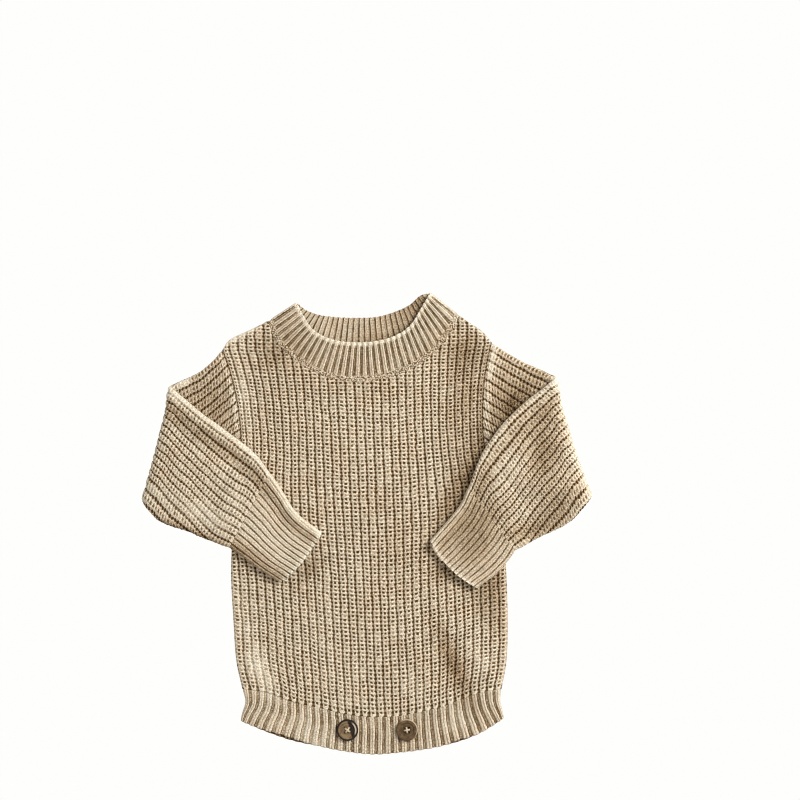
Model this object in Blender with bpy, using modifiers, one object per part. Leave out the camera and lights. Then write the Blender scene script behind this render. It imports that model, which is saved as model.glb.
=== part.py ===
"""Baby romper in a chunky ribbed knit, laid flat on its back with both sleeves folded in over the front.

The frame: metres, +Z up, +Y from hem to neck. The origin is on the surface it lies on, under the middle
of the body. Left and right are as seen from above. The tables and the sizes below are in millimetres.
"""

import math
from collections import namedtuple

import bmesh
import bpy

MM = 0.001

# The cloth, and how its layers lie
WALL = 2.6                          # thickness of the knit
AIR = 0.8                           # between two layers that lie on each other
SEAM = 0.3                          # between two pieces that are sewn together
SIDE_SEAM = 0.5                     # the same where front and back meet, because their faceted walls lean
SLANT_GAP = 0.7                     # more than half a seam, where a sleeve's side edge leaves the body
EDGE_GAP = 0.35                     # more than half a seam, at the other round edges
CORNER_GAP, CORNER_REACH = 0.75, 1.5            # the same at the collar's corners, fading over these rows
TUBE = 2 * WALL + AIR               # height of the flat body, or of a flat sleeve
LOW = WALL / 2                      # middle of the lower layer
HIGH = TUBE - LOW                   # middle of the upper layer
ROLL = (HIGH - LOW) / 2             # radius of that middle round a side edge
EDGE = LOW + ROLL                   # reach of a side edge, from the outline inward
FOLD = TUBE + 0.5                   # height of the axis that a sleeve is folded about
PUFF, PUFF_X, PUFF_Y = 1.8, 122, 150            # air inside the body: height and half reach
SAG, SAG_REACH = 5.4, 30            # how far a forearm droops where nothing is under it
CROWN = 1.2                         # roundness of the forearm's top
COLLAR_LIFT = 2.2                   # the front of the collar stands this much off the back
COLLAR_CORNER = 29.5                # length of the collar's side edges
RIPPLE = 0.02                       # every second point stands this much higher, so flat cloth keeps its faces

# The buttons, each with a dished face inside a raised rim
BUTTON_D, BUTTON_T = 19.5, 3.2
BUTTON_Y, BUTTON_X = -184.5, {"left_button": -18.5, "right_button": 35.0}
DISH_D, DISH_DEPTH = 13.6, 0.9
HOLES, HOLE_D, HOLE_PITCH = 4, 2.0, 4.2
BUTTON_SIDES, HOLE_SIDES = 28, 10

# Colours
KNIT = (0.55, 0.45, 0.32)
WOOD = (0.16, 0.09, 0.045)

# Side seams, from the hem up to the underarm
Side = namedtuple("Side", "y left right")
SIDES = (
    Side(-147.5, -113.5, 120.5),
    Side(-121.5, -119.0, 125.0),
    Side(-85.5, -121.5, 126.0),
    Side(-49.5, -123.5, 125.0),
    Side(-20.0, -123.0, 123.0),
    Side(18.0, -120.0, 117.0),
    Side(63.0, -114.5, 106.0),
)

# A sleeve is a flat tube. Each ring has its two edges and how far it bows towards the cuff between them.
# turn is 0 on the upper arm and 180 on the forearm, which lies on top, face down.
Ring = namedtuple("Ring", "turn upper_x upper_y lower_x lower_y bow")
Arm = namedtuple("Arm", "name hand sleeve cuff")
LEFT = Arm(
    "left",
    1,
    (
        Ring(0, -131.5, 157.5, -114.5, 63.0, 5.0),
        Ring(0, -139.5, 148.5, -128.5, 54.5, 4.0),
        Ring(0, -151.0, 138.5, -148.5, 43.0, 2.5),
        Ring(0, -163.0, 132.5, -172.0, 31.0, 1.5),
        Ring(0, -172.5, 128.0, -196.0, 20.5, 1.5),
        Ring(90, -172.5, 124.0, -199.5, 15.0, 1.5),
        Ring(180, -172.0, 120.5, -193.5, 7.0, 1.0),
        Ring(180, -163.0, 113.0, -182.0, 0.0, 0.0),
        Ring(180, -147.0, 99.5, -165.5, -5.0, 0.0),
        Ring(180, -129.5, 87.0, -151.0, -11.0, 0.0),
        Ring(180, -114.5, 75.5, -139.5, -15.5, 0.0),
        Ring(180, -101.5, 62.0, -131.5, -18.5, 0.0),
        Ring(180, -90.0, 44.5, -125.0, -20.5, 0.0),
    ),
    (
        Ring(180, -90.0, 44.5, -125.0, -20.5, 0.0),
        Ring(180, -75.0, 27.0, -112.5, -28.5, 1.5),
        Ring(180, -58.5, 9.0, -96.5, -40.5, 3.0),
        Ring(180, -41.0, -4.0, -79.0, -51.5, 4.5),
    ),
)
RIGHT = Arm(
    "right",
    -1,
    (
        Ring(0, 111.5, 164.0, 106.0, 63.0, 5.0),
        Ring(0, 125.0, 155.5, 121.5, 53.5, 4.0),
        Ring(0, 140.0, 147.0, 141.0, 43.0, 2.5),
        Ring(0, 152.5, 141.5, 166.0, 32.0, 1.5),
        Ring(0, 163.0, 136.5, 190.5, 24.0, 3.0),
        Ring(90, 164.0, 132.0, 198.0, 19.5, 3.0),
        Ring(180, 162.0, 128.0, 191.5, 10.5, 2.0),
        Ring(180, 155.5, 122.5, 180.0, 1.0, 0.5),
        Ring(180, 141.0, 111.5, 164.0, -7.0, 0.0),
        Ring(180, 126.0, 97.0, 151.0, -13.0, 0.0),
        Ring(180, 112.5, 81.0, 143.0, -18.0, 0.0),
        Ring(180, 100.5, 61.0, 137.0, -21.0, 0.0),
        Ring(180, 90.0, 34.0, 132.5, -23.0, 0.0),
    ),
    (
        Ring(180, 90.0, 34.0, 132.5, -23.0, 0.0),
        Ring(180, 83.0, 18.5, 125.0, -33.0, 1.5),
        Ring(180, 71.0, 3.5, 113.5, -45.0, 3.0),
        Ring(180, 56.0, -14.0, 98.0, -56.5, 5.0),
    ),
)

# The shoulders, from the sleeve to the collar on the left and from the collar to the sleeve on the right
Point = namedtuple("Point", "x y")
SHOULDER_LEFT = (Point(-131.5, 157.5), Point(-124.5, 167.0), Point(-106.0, 176.0), Point(-90.0, 184.0))
SHOULDER_RIGHT = (Point(83.0, 188.5), Point(93.0, 182.5), Point(103.0, 176.0), Point(111.5, 164.5))

# The collar, from its left corner to its right one: the seam on the panel, and the edge above it
Rib = namedtuple("Rib", "seam_x seam_y edge_x edge_y")
COLLAR_FRONT = (
    Rib(-90.0, 184.0, -65.5, 200.0),
    Rib(-83.5, 166.5, -58.5, 187.0),
    Rib(-67.5, 150.5, -49.5, 174.5),
    Rib(-46.0, 136.5, -34.0, 166.5),
    Rib(-20.5, 129.5, -16.0, 163.5),
    Rib(6.5, 130.5, 3.5, 164.0),
    Rib(31.5, 137.0, 23.5, 169.0),
    Rib(51.5, 148.5, 38.5, 179.0),
    Rib(70.0, 167.0, 49.5, 196.5),
    Rib(83.0, 188.5, 57.0, 208.5),
)
COLLAR_BACK = (
    Rib(-90.0, 184.0, -65.5, 200.0),
    Rib(-75.0, 172.0, -56.0, 192.5),
    Rib(-55.0, 162.5, -43.0, 188.0),
    Rib(-31.5, 156.0, -26.0, 186.0),
    Rib(-10.0, 153.0, -9.0, 185.5),
    Rib(12.0, 154.0, 8.5, 186.5),
    Rib(33.0, 159.0, 24.5, 191.0),
    Rib(52.5, 167.0, 37.5, 197.0),
    Rib(69.5, 178.0, 47.5, 205.5),
    Rib(83.0, 188.5, 57.0, 208.5),
)

# The hem bands, evenly spaced from left to right: the seam on the panel, and the edge below it
Hem = namedtuple("Hem", "seam_y edge_y")
HEM = (
    Hem(-147.5, -175.5),
    Hem(-151.0, -185.5),
    Hem(-159.5, -193.5),
    Hem(-165.0, -198.5),
    Hem(-170.5, -203.0),
    Hem(-173.0, -205.5),
    Hem(-172.0, -204.0),
    Hem(-167.5, -201.0),
    Hem(-161.0, -196.0),
    Hem(-152.0, -187.5),
    Hem(-147.5, -173.0),
)
HEM_WIDENING = 1.0                  # on each side, from the seam to the edge
BACK_HEM_DROP = 2.0                 # the back band shows below the front one near the sides

# Where the surfaces are sampled. A round edge is three flats for each quarter turn, the end ones level and
# upright, so its corners stand a little outside the true arc.
ARC = (0, 0.25, 0.75, 1)            # from an edge inward
HALF_TURN = (22.5, 67.5, 112.5, 157.5)
CORNER_OUT = 1 / math.cos(math.radians(22.5))
CORNER = 0.3                        # in rows of the collar's tables: where its side edge begins
UNDERARM = 0.685                    # share of a panel's side that lies below the sleeve
SIDE_REACH = 0.5                    # share of a panel's width that follows the shape of a side
UNDERARM_FLAT, UNDERARM_ROUND = 1, 9            # below the sleeve, where the side seam starts to roll
SHOULDER_FADE = 0.4                 # share of a shoulder over which its round seam levels out to the collar
SHOULDER_STATIONS = (0.3, 0.6, 0.75, 0.88)
TWIST_GAP = 1.1                     # lifts the front off the back where the shoulder seam levels out
SIDE_ROWS = 6
SLEEVE_RINGS = (0, 1, 2, 3, 4, 4.33, 4.67, 5, 5.33, 5.67, 6, 7, 8, 9, 10, 11, 12)
CUFF_RINGS = (0, 1, 2, 3)
TUBE_COLUMNS = 6
COLLAR_ROWS, HEM_ROWS = 3, 3


# ---- curves and small sums

def mix(a, b, t):
    return a + (b - a) * t


def mix2(p, q, t):
    return mix(p[0], q[0], t), mix(p[1], q[1], t)


def ease(t):
    t = min(max(t, 0), 1)
    return t * t * (3 - 2 * t)


def unit(x, y):
    size = math.hypot(x, y)
    return x / size, y / size


def along(rows, t):
    """A smooth curve through a table's rows, where t counts rows."""
    i = min(int(t), len(rows) - 2)
    f = t - i
    a, b = rows[i], rows[i + 1]
    before = rows[i - 1] if i else [2 * p - q for p, q in zip(a, b)]
    after = rows[i + 2] if i + 2 < len(rows) else [2 * q - p for p, q in zip(a, b)]
    return [
        q + 0.5 * f * (r - p + f * (2 * p - 5 * q + 4 * r - s + f * (3 * (q - r) + s - p)))
        for p, q, r, s in zip(before, a, b, after)
    ]


def edge_profile(a, roundness):
    """Across a side edge, a = 0 at the seam and 1 where the cloth is flat: how far in from the outline
    the middle of the wall lies, and how far it has dropped towards the other layer."""
    angle = (1 - a) * math.pi / 2
    turned = math.sin(roundness * math.pi / 2)
    reach = ROLL - SIDE_SEAM / 2
    out = reach * (CORNER_OUT if 0 < a < 1 else 1)
    flat = mix(SEAM / 2, EDGE, a)
    rounded = EDGE - out * math.sin(angle)
    return mix(flat, rounded, turned), turned * (reach - out * math.cos(angle))


def puff(x, y):
    """How far the air inside lifts the front of the body."""
    return PUFF * max(0, 1 - (x / PUFF_X) ** 2) * max(0, 1 - (y / PUFF_Y) ** 2)


# ---- sleeves and cuffs

def ring_at(rings, t):
    ring = Ring(*along(rings, t))
    return ring._replace(turn=min(max(ring.turn, 0), 180))


def across(arm, ring, c):
    """The point c of the way from a ring's upper edge to its lower edge, seen from above, and the direction
    square to the ring that the sleeve runs in before its fold."""
    down = ring.lower_x - ring.upper_x, ring.lower_y - ring.upper_y
    forward = unit(-down[1] * arm.hand, down[0] * arm.hand)
    bow = ring.bow * 4 * c * (1 - c)
    x = ring.upper_x + down[0] * c + forward[0] * bow
    y = ring.upper_y + down[1] * c + forward[1] * bow
    return x, y, forward


def unsupported(arm, x, y):
    """How far a point lies outside both the upper arm and the body."""
    start, end = arm.sleeve[0], arm.sleeve[4]
    run = unit(end.lower_x - start.lower_x, end.lower_y - start.lower_y)
    below = ((y - start.lower_y) * run[0] - (x - start.lower_x) * run[1]) * arm.hand
    beside = (body_edge(arm, y) - x) * arm.hand
    return max(0, min(below, beside))


def body_edge(arm, y):
    """The x of a body's side at a height on the side seam."""
    edges = [(row.y, row.left if arm is LEFT else row.right) for row in SIDES]
    y = min(max(y, edges[0][0]), edges[-1][0])
    for (y0, x0), (y1, x1) in zip(edges, edges[1:]):
        if y <= y1:
            return mix(x0, x1, (y - y0) / (y1 - y0))


def ring_width(ring):
    return math.hypot(ring.lower_x - ring.upper_x, ring.lower_y - ring.upper_y)


def flat_shares(width):
    """Where the level part of a flat tube is sampled, as shares of its width."""
    return [mix(EDGE, width - EDGE, i / TUBE_COLUMNS) / width for i in range(TUBE_COLUMNS + 1)]


def section(width):
    """Round a flat tube: shares of the width, and heights. The upper layer comes first."""
    inner = flat_shares(width)
    out = ROLL * CORNER_OUT
    turns = [math.radians(turn) for turn in HALF_TURN]
    ring = [(c, HIGH) for c in inner]
    ring += [(1 - (EDGE - out * math.sin(turn)) / width, EDGE + out * math.cos(turn)) for turn in turns]
    ring += [(c, LOW) for c in reversed(inner)]
    ring += [((EDGE - out * math.sin(turn)) / width, EDGE - out * math.cos(turn)) for turn in turns]
    return ring


def tube_point(arm, ring, c, height, shift, edge_shift):
    """A point of the folded tube. height is the one that it would have with the sleeve unfolded."""
    x, y, forward = across(arm, ring, c)
    turn = math.radians(ring.turn)
    over = (1 - math.cos(turn)) / 2
    if height < EDGE:
        height -= CROWN * max(0, -math.cos(turn)) * 4 * c * (1 - c)
    out = (FOLD - height) * math.sin(turn)
    x -= forward[0] * out
    y -= forward[1] * out
    lift = over * (puff(x, y) - SAG * ease(unsupported(arm, x, y) / SAG_REACH))
    shift += edge_shift * ease(abs(2 * c - 1) * 5 - 4)
    x += forward[0] * shift
    y += forward[1] * shift
    return x, y, FOLD - (FOLD - height) * math.cos(turn) + lift


def tube(name, arm, rings, stations, starts, ends):
    """A sleeve or a cuff: rings joined into an open tube. starts and ends are how far its two end rings
    are moved along the cuff's direction, and how much further at their side edges."""
    shifts = {stations[0]: starts, stations[-1]: ends}
    rows = []
    for t in stations:
        ring = ring_at(rings, t)
        shift = shifts.get(t, (0, 0))
        rows.append([tube_point(arm, ring, c, height, *shift) for c, height in section(ring_width(ring))])
    cloth(name, rows, closed=True)


# ---- front and back panels

def side_at(arm, v):
    """The side of a panel, from the hem at 0 to the top of the armhole at 1."""
    if v > UNDERARM:
        x, y, _ = across(arm, arm.sleeve[0], (1 - v) / (1 - UNDERARM))
        return x, y
    row = Side(*along(SIDES, v / UNDERARM * (len(SIDES) - 1)))
    return (row.left if arm is LEFT else row.right), row.y


def top_at(neck, w):
    """The top of a panel: the left shoulder from 0 to 1, the neck from 1 to 2, then the right shoulder."""
    rows = SHOULDER_LEFT if w <= 1 else SHOULDER_RIGHT if w >= 2 else neck
    point = along(rows, (w - (0 if w <= 1 else 2 if w >= 2 else 1)) * (len(rows) - 1))
    return point[0], point[1]


def top_normal(neck, w):
    """Square to the top edge, towards the cloth."""
    before, after = top_at(neck, max(w - 0.01, 0)), top_at(neck, min(w + 0.01, 3))
    tangent = unit(after[0] - before[0], after[1] - before[1])
    return tangent[1], -tangent[0]


def top_share(neck, w):
    left, right = SHOULDER_LEFT[0].x, SHOULDER_RIGHT[-1].x
    return (top_at(neck, w)[0] - left) / (right - left)


def top_station(neck, u):
    """The w whose point lies at share u of the width."""
    low, high = 0, 3
    for _ in range(40):
        middle = (low + high) / 2
        if top_share(neck, middle) < u:
            low = middle
        else:
            high = middle
    return (low + high) / 2


def hem_point(u, share):
    """A point of the hem band, share of the way from its seam down to its edge."""
    row = Hem(*along(HEM, u * (len(HEM) - 1)))
    wider = HEM_WIDENING * share
    return mix(SIDES[0].left - wider, SIDES[0].right + wider, u), mix(row.seam_y, row.edge_y, share)


def flat_point(neck, u, w, v):
    """A panel's grid seen from above: straight columns in the middle, bent ones along the two sides."""
    x, y = mix2(hem_point(u, 0), top_at(neck, w), v)
    for arm, corner, foot, share in (
        (LEFT, SHOULDER_LEFT[0], hem_point(0, 0), u),
        (RIGHT, SHOULDER_RIGHT[-1], hem_point(1, 0), 1 - u),
    ):
        bend = max(0, 1 - share / SIDE_REACH) ** 2
        straight, side = mix2(foot, corner, v), side_at(arm, v)
        x += (side[0] - straight[0]) * bend
        y += (side[1] - straight[1]) * bend
    return x, y


def collar_stations():
    """Where the collar's ribs are sampled, in rows of its tables."""
    last = len(COLLAR_FRONT) - 1
    return [0, CORNER, 2 * CORNER, *range(1, last), last - 2 * CORNER, last - CORNER, last]


def panel_columns(neck):
    """The columns of a panel: share of the width, place along the top, and place across the side edge."""
    width = SHOULDER_RIGHT[-1].x - SHOULDER_LEFT[0].x
    places = list(SHOULDER_STATIONS)
    places += [1 + t / (len(neck) - 1) for t in collar_stations()]
    places += [3 - w for w in reversed(SHOULDER_STATIONS)]
    left = [(a * EDGE / width, top_station(neck, a * EDGE / width), a) for a in ARC]
    middle = [(top_share(neck, w), w, 1) for w in places]
    right = [(1 - u, top_station(neck, 1 - u), a) for u, _, a in reversed(left)]
    return left + middle + right


def panel_rows():
    """The rows of a panel, from its top down: share of the height, place across the top edge, and how round
    the side is. Above the underarm they are the sleeve's own stations."""
    height = SHOULDER_LEFT[0].y - SIDES[0].y
    armhole = ring_width(LEFT.sleeve[0])
    turn_start = UNDERARM - UNDERARM_ROUND / height
    rows = [(turn_start * i / SIDE_ROWS, 1, 1) for i in range(SIDE_ROWS + 1)]
    rows += [(UNDERARM - UNDERARM_FLAT / height, 1, 0), (UNDERARM, 1, 0)]
    rows += [(1 - c * (1 - UNDERARM), 1, 0) for c in reversed(flat_shares(armhole)[1:])]
    rows += [(1 - a * EDGE / armhole * (1 - UNDERARM), a, 0) for a in reversed(ARC)]
    return list(reversed(rows))


def panel(name, neck, upper):
    """The front or the back: level over its middle, rolled down or up to the other where they are sewn."""
    columns = panel_columns(neck)
    rows = []
    for v, top_a, side_round in panel_rows():
        row = []
        for u, w, side_a in columns:
            x, y = flat_point(neck, u, w, v)
            inset, side_drop = edge_profile(side_a, side_round)
            if side_a < 1:
                x = side_at(LEFT, v)[0] + inset if u < 0.5 else side_at(RIGHT, v)[0] - inset
            top_round = ease((abs(w - 1.5) - 0.5) / SHOULDER_FADE)
            top_inset, top_drop = edge_profile(top_a, top_round)
            if top_a < 1:
                top, normal = top_at(neck, w), top_normal(neck, w)
                reach = EDGE * top_a
                x, y = mix2((x, y), (top[0] + normal[0] * reach, top[1] + normal[1] * reach), top_round)
                x += normal[0] * (top_inset - reach)
                y += normal[1] * (top_inset - reach)
            if v == 0:
                y += SEAM / 2 + (EDGE_GAP if side_a < 1 else 0)
            drop = min(side_drop + top_drop, ROLL - SIDE_SEAM / 2)
            lift = puff(x, y) + TWIST_GAP * 4 * top_round * (1 - top_round) * (1 - top_a)
            row.append((x, y, HIGH + lift - drop if upper else LOW + drop))
        rows.append(row)
    cloth(name, rows, flip=True)


# ---- collar and hem bands

def rib_point(table, t, share):
    rib = Rib(*along(table, t))
    return mix2((rib.seam_x, rib.seam_y), (rib.edge_x, rib.edge_y), share)


def collar():
    """A ring of ribs: the front half on top, the back half under it, and a tight turn at each corner."""
    last = len(COLLAR_FRONT) - 1
    stations = collar_stations()[1:-1]
    rows = []
    for i in range(COLLAR_ROWS + 1):
        share = i / COLLAR_ROWS
        lift = COLLAR_LIFT * ease(share)
        front, back = [], []
        for t in stations:
            gap = 0 if i else SEAM / 2 + CORNER_GAP * (1 - ease(min(t, last - t) / CORNER_REACH))
            for half, table, height in ((front, COLLAR_FRONT, HIGH + lift), (back, COLLAR_BACK, LOW)):
                seam, edge = rib_point(table, t, 0), rib_point(table, t, 1)
                up = unit(edge[0] - seam[0], edge[1] - seam[1])
                x, y = mix2(seam, edge, share)
                if half is front:
                    height += puff(x, y)
                half.append((x + up[0] * gap, y + up[1] * gap, height))
        back.reverse()
        clear = share or CORNER_GAP / COLLAR_CORNER
        right = corner_turn(rib_point(COLLAR_FRONT, last, clear), front[-1], back[0])
        left = corner_turn(rib_point(COLLAR_FRONT, 0, clear), back[-1], front[0])
        rows.append(front + right + back + left)
    cloth("collar", rows, closed=True, flip=True)


def corner_turn(corner, start, end):
    """Points from one layer to the other, round a corner of the collar."""
    middle = mix2(start, end, 0.5)
    out = unit(corner[0] - middle[0], corner[1] - middle[1])
    tip = corner[0] - out[0] * WALL / 2, corner[1] - out[1] * WALL / 2
    points = []
    for turn in map(math.radians, HALF_TURN):
        share = (1 - math.cos(turn) * CORNER_OUT) / 2
        reach = math.sin(turn) * CORNER_OUT
        x, y = mix2(start, end, share)
        x += (tip[0] - middle[0]) * reach
        y += (tip[1] - middle[1]) * reach
        points.append((x, y, mix(start[2], end[2], share)))
    return points


def hem_band(name, neck, upper):
    """A band below a panel, on the same columns as the panel's."""
    rows = []
    for i in range(HEM_ROWS + 1):
        share = i / HEM_ROWS
        row = []
        for u, _, side_a in panel_columns(neck):
            x, y = hem_point(u, share)
            if i == 0:
                y -= SEAM / 2 + (EDGE_GAP if side_a < 1 else 0)
            if not upper:
                y -= share * BACK_HEM_DROP * math.cos(math.pi * (2 * u - 1)) ** 2
            inset, drop = edge_profile(side_a, 1)
            if side_a < 1:
                x += (inset - EDGE * side_a) * (1 if u < 0.5 else -1)
            row.append((x, y, HIGH - drop if upper else LOW + drop))
        rows.append(row)
    cloth(name, list(reversed(rows)))


# ---- objects

def material(name, colour, roughness):
    made = bpy.data.materials.new(name)
    made.use_nodes = True
    shader = made.node_tree.nodes["Principled BSDF"]
    shader.inputs["Base Color"].default_value = (*colour, 1)
    shader.inputs["Roughness"].default_value = roughness
    shader.inputs["Metallic"].default_value = 0
    return made


def place(name, mesh, collection):
    made = bpy.data.objects.new(name, mesh)
    collection.objects.link(made)
    return made


def cloth(name, rows, closed=False, flip=False):
    """The middle of a wall as rows of points, and the wall that Solidify makes round it."""
    shape = bmesh.new()
    grid = [
        [shape.verts.new((x * MM, y * MM, (z + RIPPLE * ((i + j) % 2)) * MM)) for j, (x, y, z) in enumerate(row)]
        for i, row in enumerate(rows)
    ]
    count = len(rows[0])
    for low, high in zip(grid, grid[1:]):
        for i in range(count if closed else count - 1):
            j = (i + 1) % count
            shape.faces.new((low[i], low[j], high[j], high[i]))
    if flip:
        bmesh.ops.reverse_faces(shape, faces=shape.faces)
    mesh = bpy.data.meshes.new(name)
    shape.to_mesh(mesh)
    shape.free()
    mesh.materials.append(material(name + "_knit", KNIT, 0.95))
    mesh.shade_smooth()
    made = place(name, mesh, PARTS)
    wall = made.modifiers.new("wall", "SOLIDIFY")
    wall.thickness = WALL * MM
    wall.offset = 0


def button(name, x):
    """A turned button with a raised rim, and four holes through it."""
    radius, dish = BUTTON_D / 2, DISH_D / 2
    chamfer = 0.9
    profile = (
        (0, BUTTON_T - DISH_DEPTH),
        (dish - DISH_DEPTH, BUTTON_T - DISH_DEPTH),
        (dish, BUTTON_T),
        (radius - chamfer, BUTTON_T),
        (radius, BUTTON_T - chamfer),
        (radius, chamfer),
        (radius - chamfer, 0),
        (0, 0),
    )
    mesh = bpy.data.meshes.new(name)
    edges = [(i, i + 1) for i in range(len(profile) - 1)]
    mesh.from_pydata([(r * MM, 0, z * MM) for r, z in profile], edges, [])
    mesh.materials.append(material(name + "_wood", WOOD, 0.4))
    made = place(name, mesh, PARTS)
    made.location = (x * MM, BUTTON_Y * MM, (TUBE + SEAM) * MM)
    turned = made.modifiers.new("turned", "SCREW")
    turned.steps = turned.render_steps = BUTTON_SIDES
    turned.use_merge_vertices = True
    turned.merge_threshold = 0.00001
    turned.use_normal_calculate = True
    reach, depth = HOLE_PITCH / 2 ** 0.5, 4 * BUTTON_T
    for i in range(HOLES):
        angle = math.tau * (i + 0.5) / HOLES
        bpy.ops.mesh.primitive_cylinder_add(vertices=HOLE_SIDES, radius=HOLE_D / 2 * MM, depth=depth * MM)
        cutter = bpy.context.object
        cutter.name = f"{name}_hole_{i}"
        cutter.hide_render = True
        cutter.display_type = "WIRE"
        for held in cutter.users_collection:
            held.objects.unlink(cutter)
        CUTTERS.objects.link(cutter)
        cutter.location = (
            (x + reach * math.cos(angle)) * MM,
            (BUTTON_Y + reach * math.sin(angle)) * MM,
            (TUBE + SEAM) * MM,
        )
        hole = made.modifiers.new("hole", "BOOLEAN")
        hole.operation = "DIFFERENCE"
        hole.object = cutter


def collection(name):
    made = bpy.data.collections.new(name)
    bpy.context.scene.collection.children.link(made)
    return made


for old in list(bpy.data.objects):
    bpy.data.objects.remove(old)

PARTS = collection("baby_romper")
CUTTERS = collection("cutters")

panel("front_panel", COLLAR_FRONT, upper=True)
panel("back_panel", COLLAR_BACK, upper=False)
collar()
hem_band("front_hem_band", COLLAR_FRONT, upper=True)
hem_band("back_hem_band", COLLAR_BACK, upper=False)
for arm in (LEFT, RIGHT):
    at_body, at_cuff = (-SEAM / 2, -SLANT_GAP), (-SEAM / 2, -EDGE_GAP)
    tube(arm.name + "_sleeve", arm, arm.sleeve, SLEEVE_RINGS, at_body, at_cuff)
    tube(arm.name + "_cuff", arm, arm.cuff, CUFF_RINGS, (SEAM / 2, EDGE_GAP), (0, 0))
for name, x in BUTTON_X.items():
    button(name, x)
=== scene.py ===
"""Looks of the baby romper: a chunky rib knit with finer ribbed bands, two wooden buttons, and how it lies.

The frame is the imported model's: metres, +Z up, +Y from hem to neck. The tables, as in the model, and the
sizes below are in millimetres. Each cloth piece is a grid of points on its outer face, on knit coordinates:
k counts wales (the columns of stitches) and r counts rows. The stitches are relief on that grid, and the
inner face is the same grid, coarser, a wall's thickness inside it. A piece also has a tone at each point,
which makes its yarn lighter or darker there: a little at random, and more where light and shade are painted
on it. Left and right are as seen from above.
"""

import math
from collections import namedtuple

import bpy
import numpy as np
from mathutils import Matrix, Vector


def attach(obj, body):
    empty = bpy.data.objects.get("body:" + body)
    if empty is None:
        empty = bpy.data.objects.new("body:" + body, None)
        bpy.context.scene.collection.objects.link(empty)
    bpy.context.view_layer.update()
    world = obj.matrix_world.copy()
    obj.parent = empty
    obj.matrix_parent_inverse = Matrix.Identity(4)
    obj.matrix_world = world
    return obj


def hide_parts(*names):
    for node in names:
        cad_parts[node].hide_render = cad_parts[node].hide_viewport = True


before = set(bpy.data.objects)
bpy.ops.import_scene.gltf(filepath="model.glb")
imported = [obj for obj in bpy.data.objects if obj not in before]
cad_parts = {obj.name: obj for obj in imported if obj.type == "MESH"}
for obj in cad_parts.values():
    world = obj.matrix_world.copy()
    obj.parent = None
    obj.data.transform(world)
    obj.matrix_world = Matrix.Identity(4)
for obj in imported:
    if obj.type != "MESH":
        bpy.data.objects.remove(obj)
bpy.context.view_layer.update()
MM = 0.001


def table(kind, *rows):
    """Rows of numbers, under the names of their columns."""
    return tuple(kind(*row) for row in rows)


# ---- the cloth and how its layers lie, as in the model

WALL, AIR = 2.6, 0.8
TUBE = 2 * WALL + AIR               # height of the flat body, or of a flat sleeve
ROUND = TUBE / 2                    # radius of a side edge
FOLD = TUBE + 0.5                   # height of the axis that a sleeve is folded about
PUFF, PUFF_X, PUFF_Y = 1.8, 122, 150
SAG, SAG_REACH = 5.4, 30
CROWN = 1.2
COLLAR_LIFT, COLLAR_DEEP, HEM_DEEP = 2.2, 34, 31
SEWN = 0.3                          # between two pieces that are sewn together
MOST_DROP = ROUND - 0.05            # of a round edge, which stops short of its seam
BUTTON_D, BUTTON_T = 19.5, 3.2
BUTTON_Y, BUTTON_X = -184.5, {"left_button": -18.5, "right_button": 35.0}

Side = namedtuple("Side", "y left right")
SIDES = table(
    Side,
    (-147.5, -113.5, 120.5),
    (-121.5, -119.0, 125.0),
    (-85.5, -121.5, 126.0),
    (-49.5, -123.5, 125.0),
    (-20.0, -123.0, 123.0),
    (18.0, -120.0, 117.0),
    (63.0, -114.5, 106.0),
)
UNDERARM_Y = SIDES[-1].y
Ring = namedtuple("Ring", "turn upper_x upper_y lower_x lower_y bow")
TURN, UPPER_X, UPPER_Y, BOW = 0, 1, 2, 5
UPPER, LOWER = slice(1, 3), slice(3, 5)
Arm = namedtuple("Arm", "name hand sleeve cuff")


def sleeved(name, hand, sleeve, cuff):
    """An arm, whose cuff begins where its sleeve ends."""
    sleeve = table(Ring, *sleeve)
    return Arm(name, hand, sleeve, sleeve[-1:] + table(Ring, *cuff))


LEFT = sleeved(
    "left",
    1,
    (
        (0, -131.5, 157.5, -114.5, 63.0, 5.0),
        (0, -139.5, 148.5, -128.5, 54.5, 4.0),
        (0, -151.0, 138.5, -148.5, 43.0, 2.5),
        (0, -163.0, 132.5, -172.0, 31.0, 1.5),
        (0, -172.5, 128.0, -196.0, 20.5, 1.5),
        (90, -172.5, 124.0, -199.5, 15.0, 1.5),
        (180, -172.0, 120.5, -193.5, 7.0, 1.0),
        (180, -163.0, 113.0, -182.0, 0.0, 0.0),
        (180, -147.0, 99.5, -165.5, -5.0, 0.0),
        (180, -129.5, 87.0, -151.0, -11.0, 0.0),
        (180, -114.5, 75.5, -139.5, -15.5, 0.0),
        (180, -101.5, 62.0, -131.5, -18.5, 0.0),
        (180, -90.0, 44.5, -125.0, -20.5, 0.0),
    ),
    (
        (180, -75.0, 27.0, -112.5, -28.5, 1.5),
        (180, -58.5, 9.0, -96.5, -40.5, 3.0),
        (180, -41.0, -4.0, -79.0, -51.5, 4.5),
    ),
)
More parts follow.
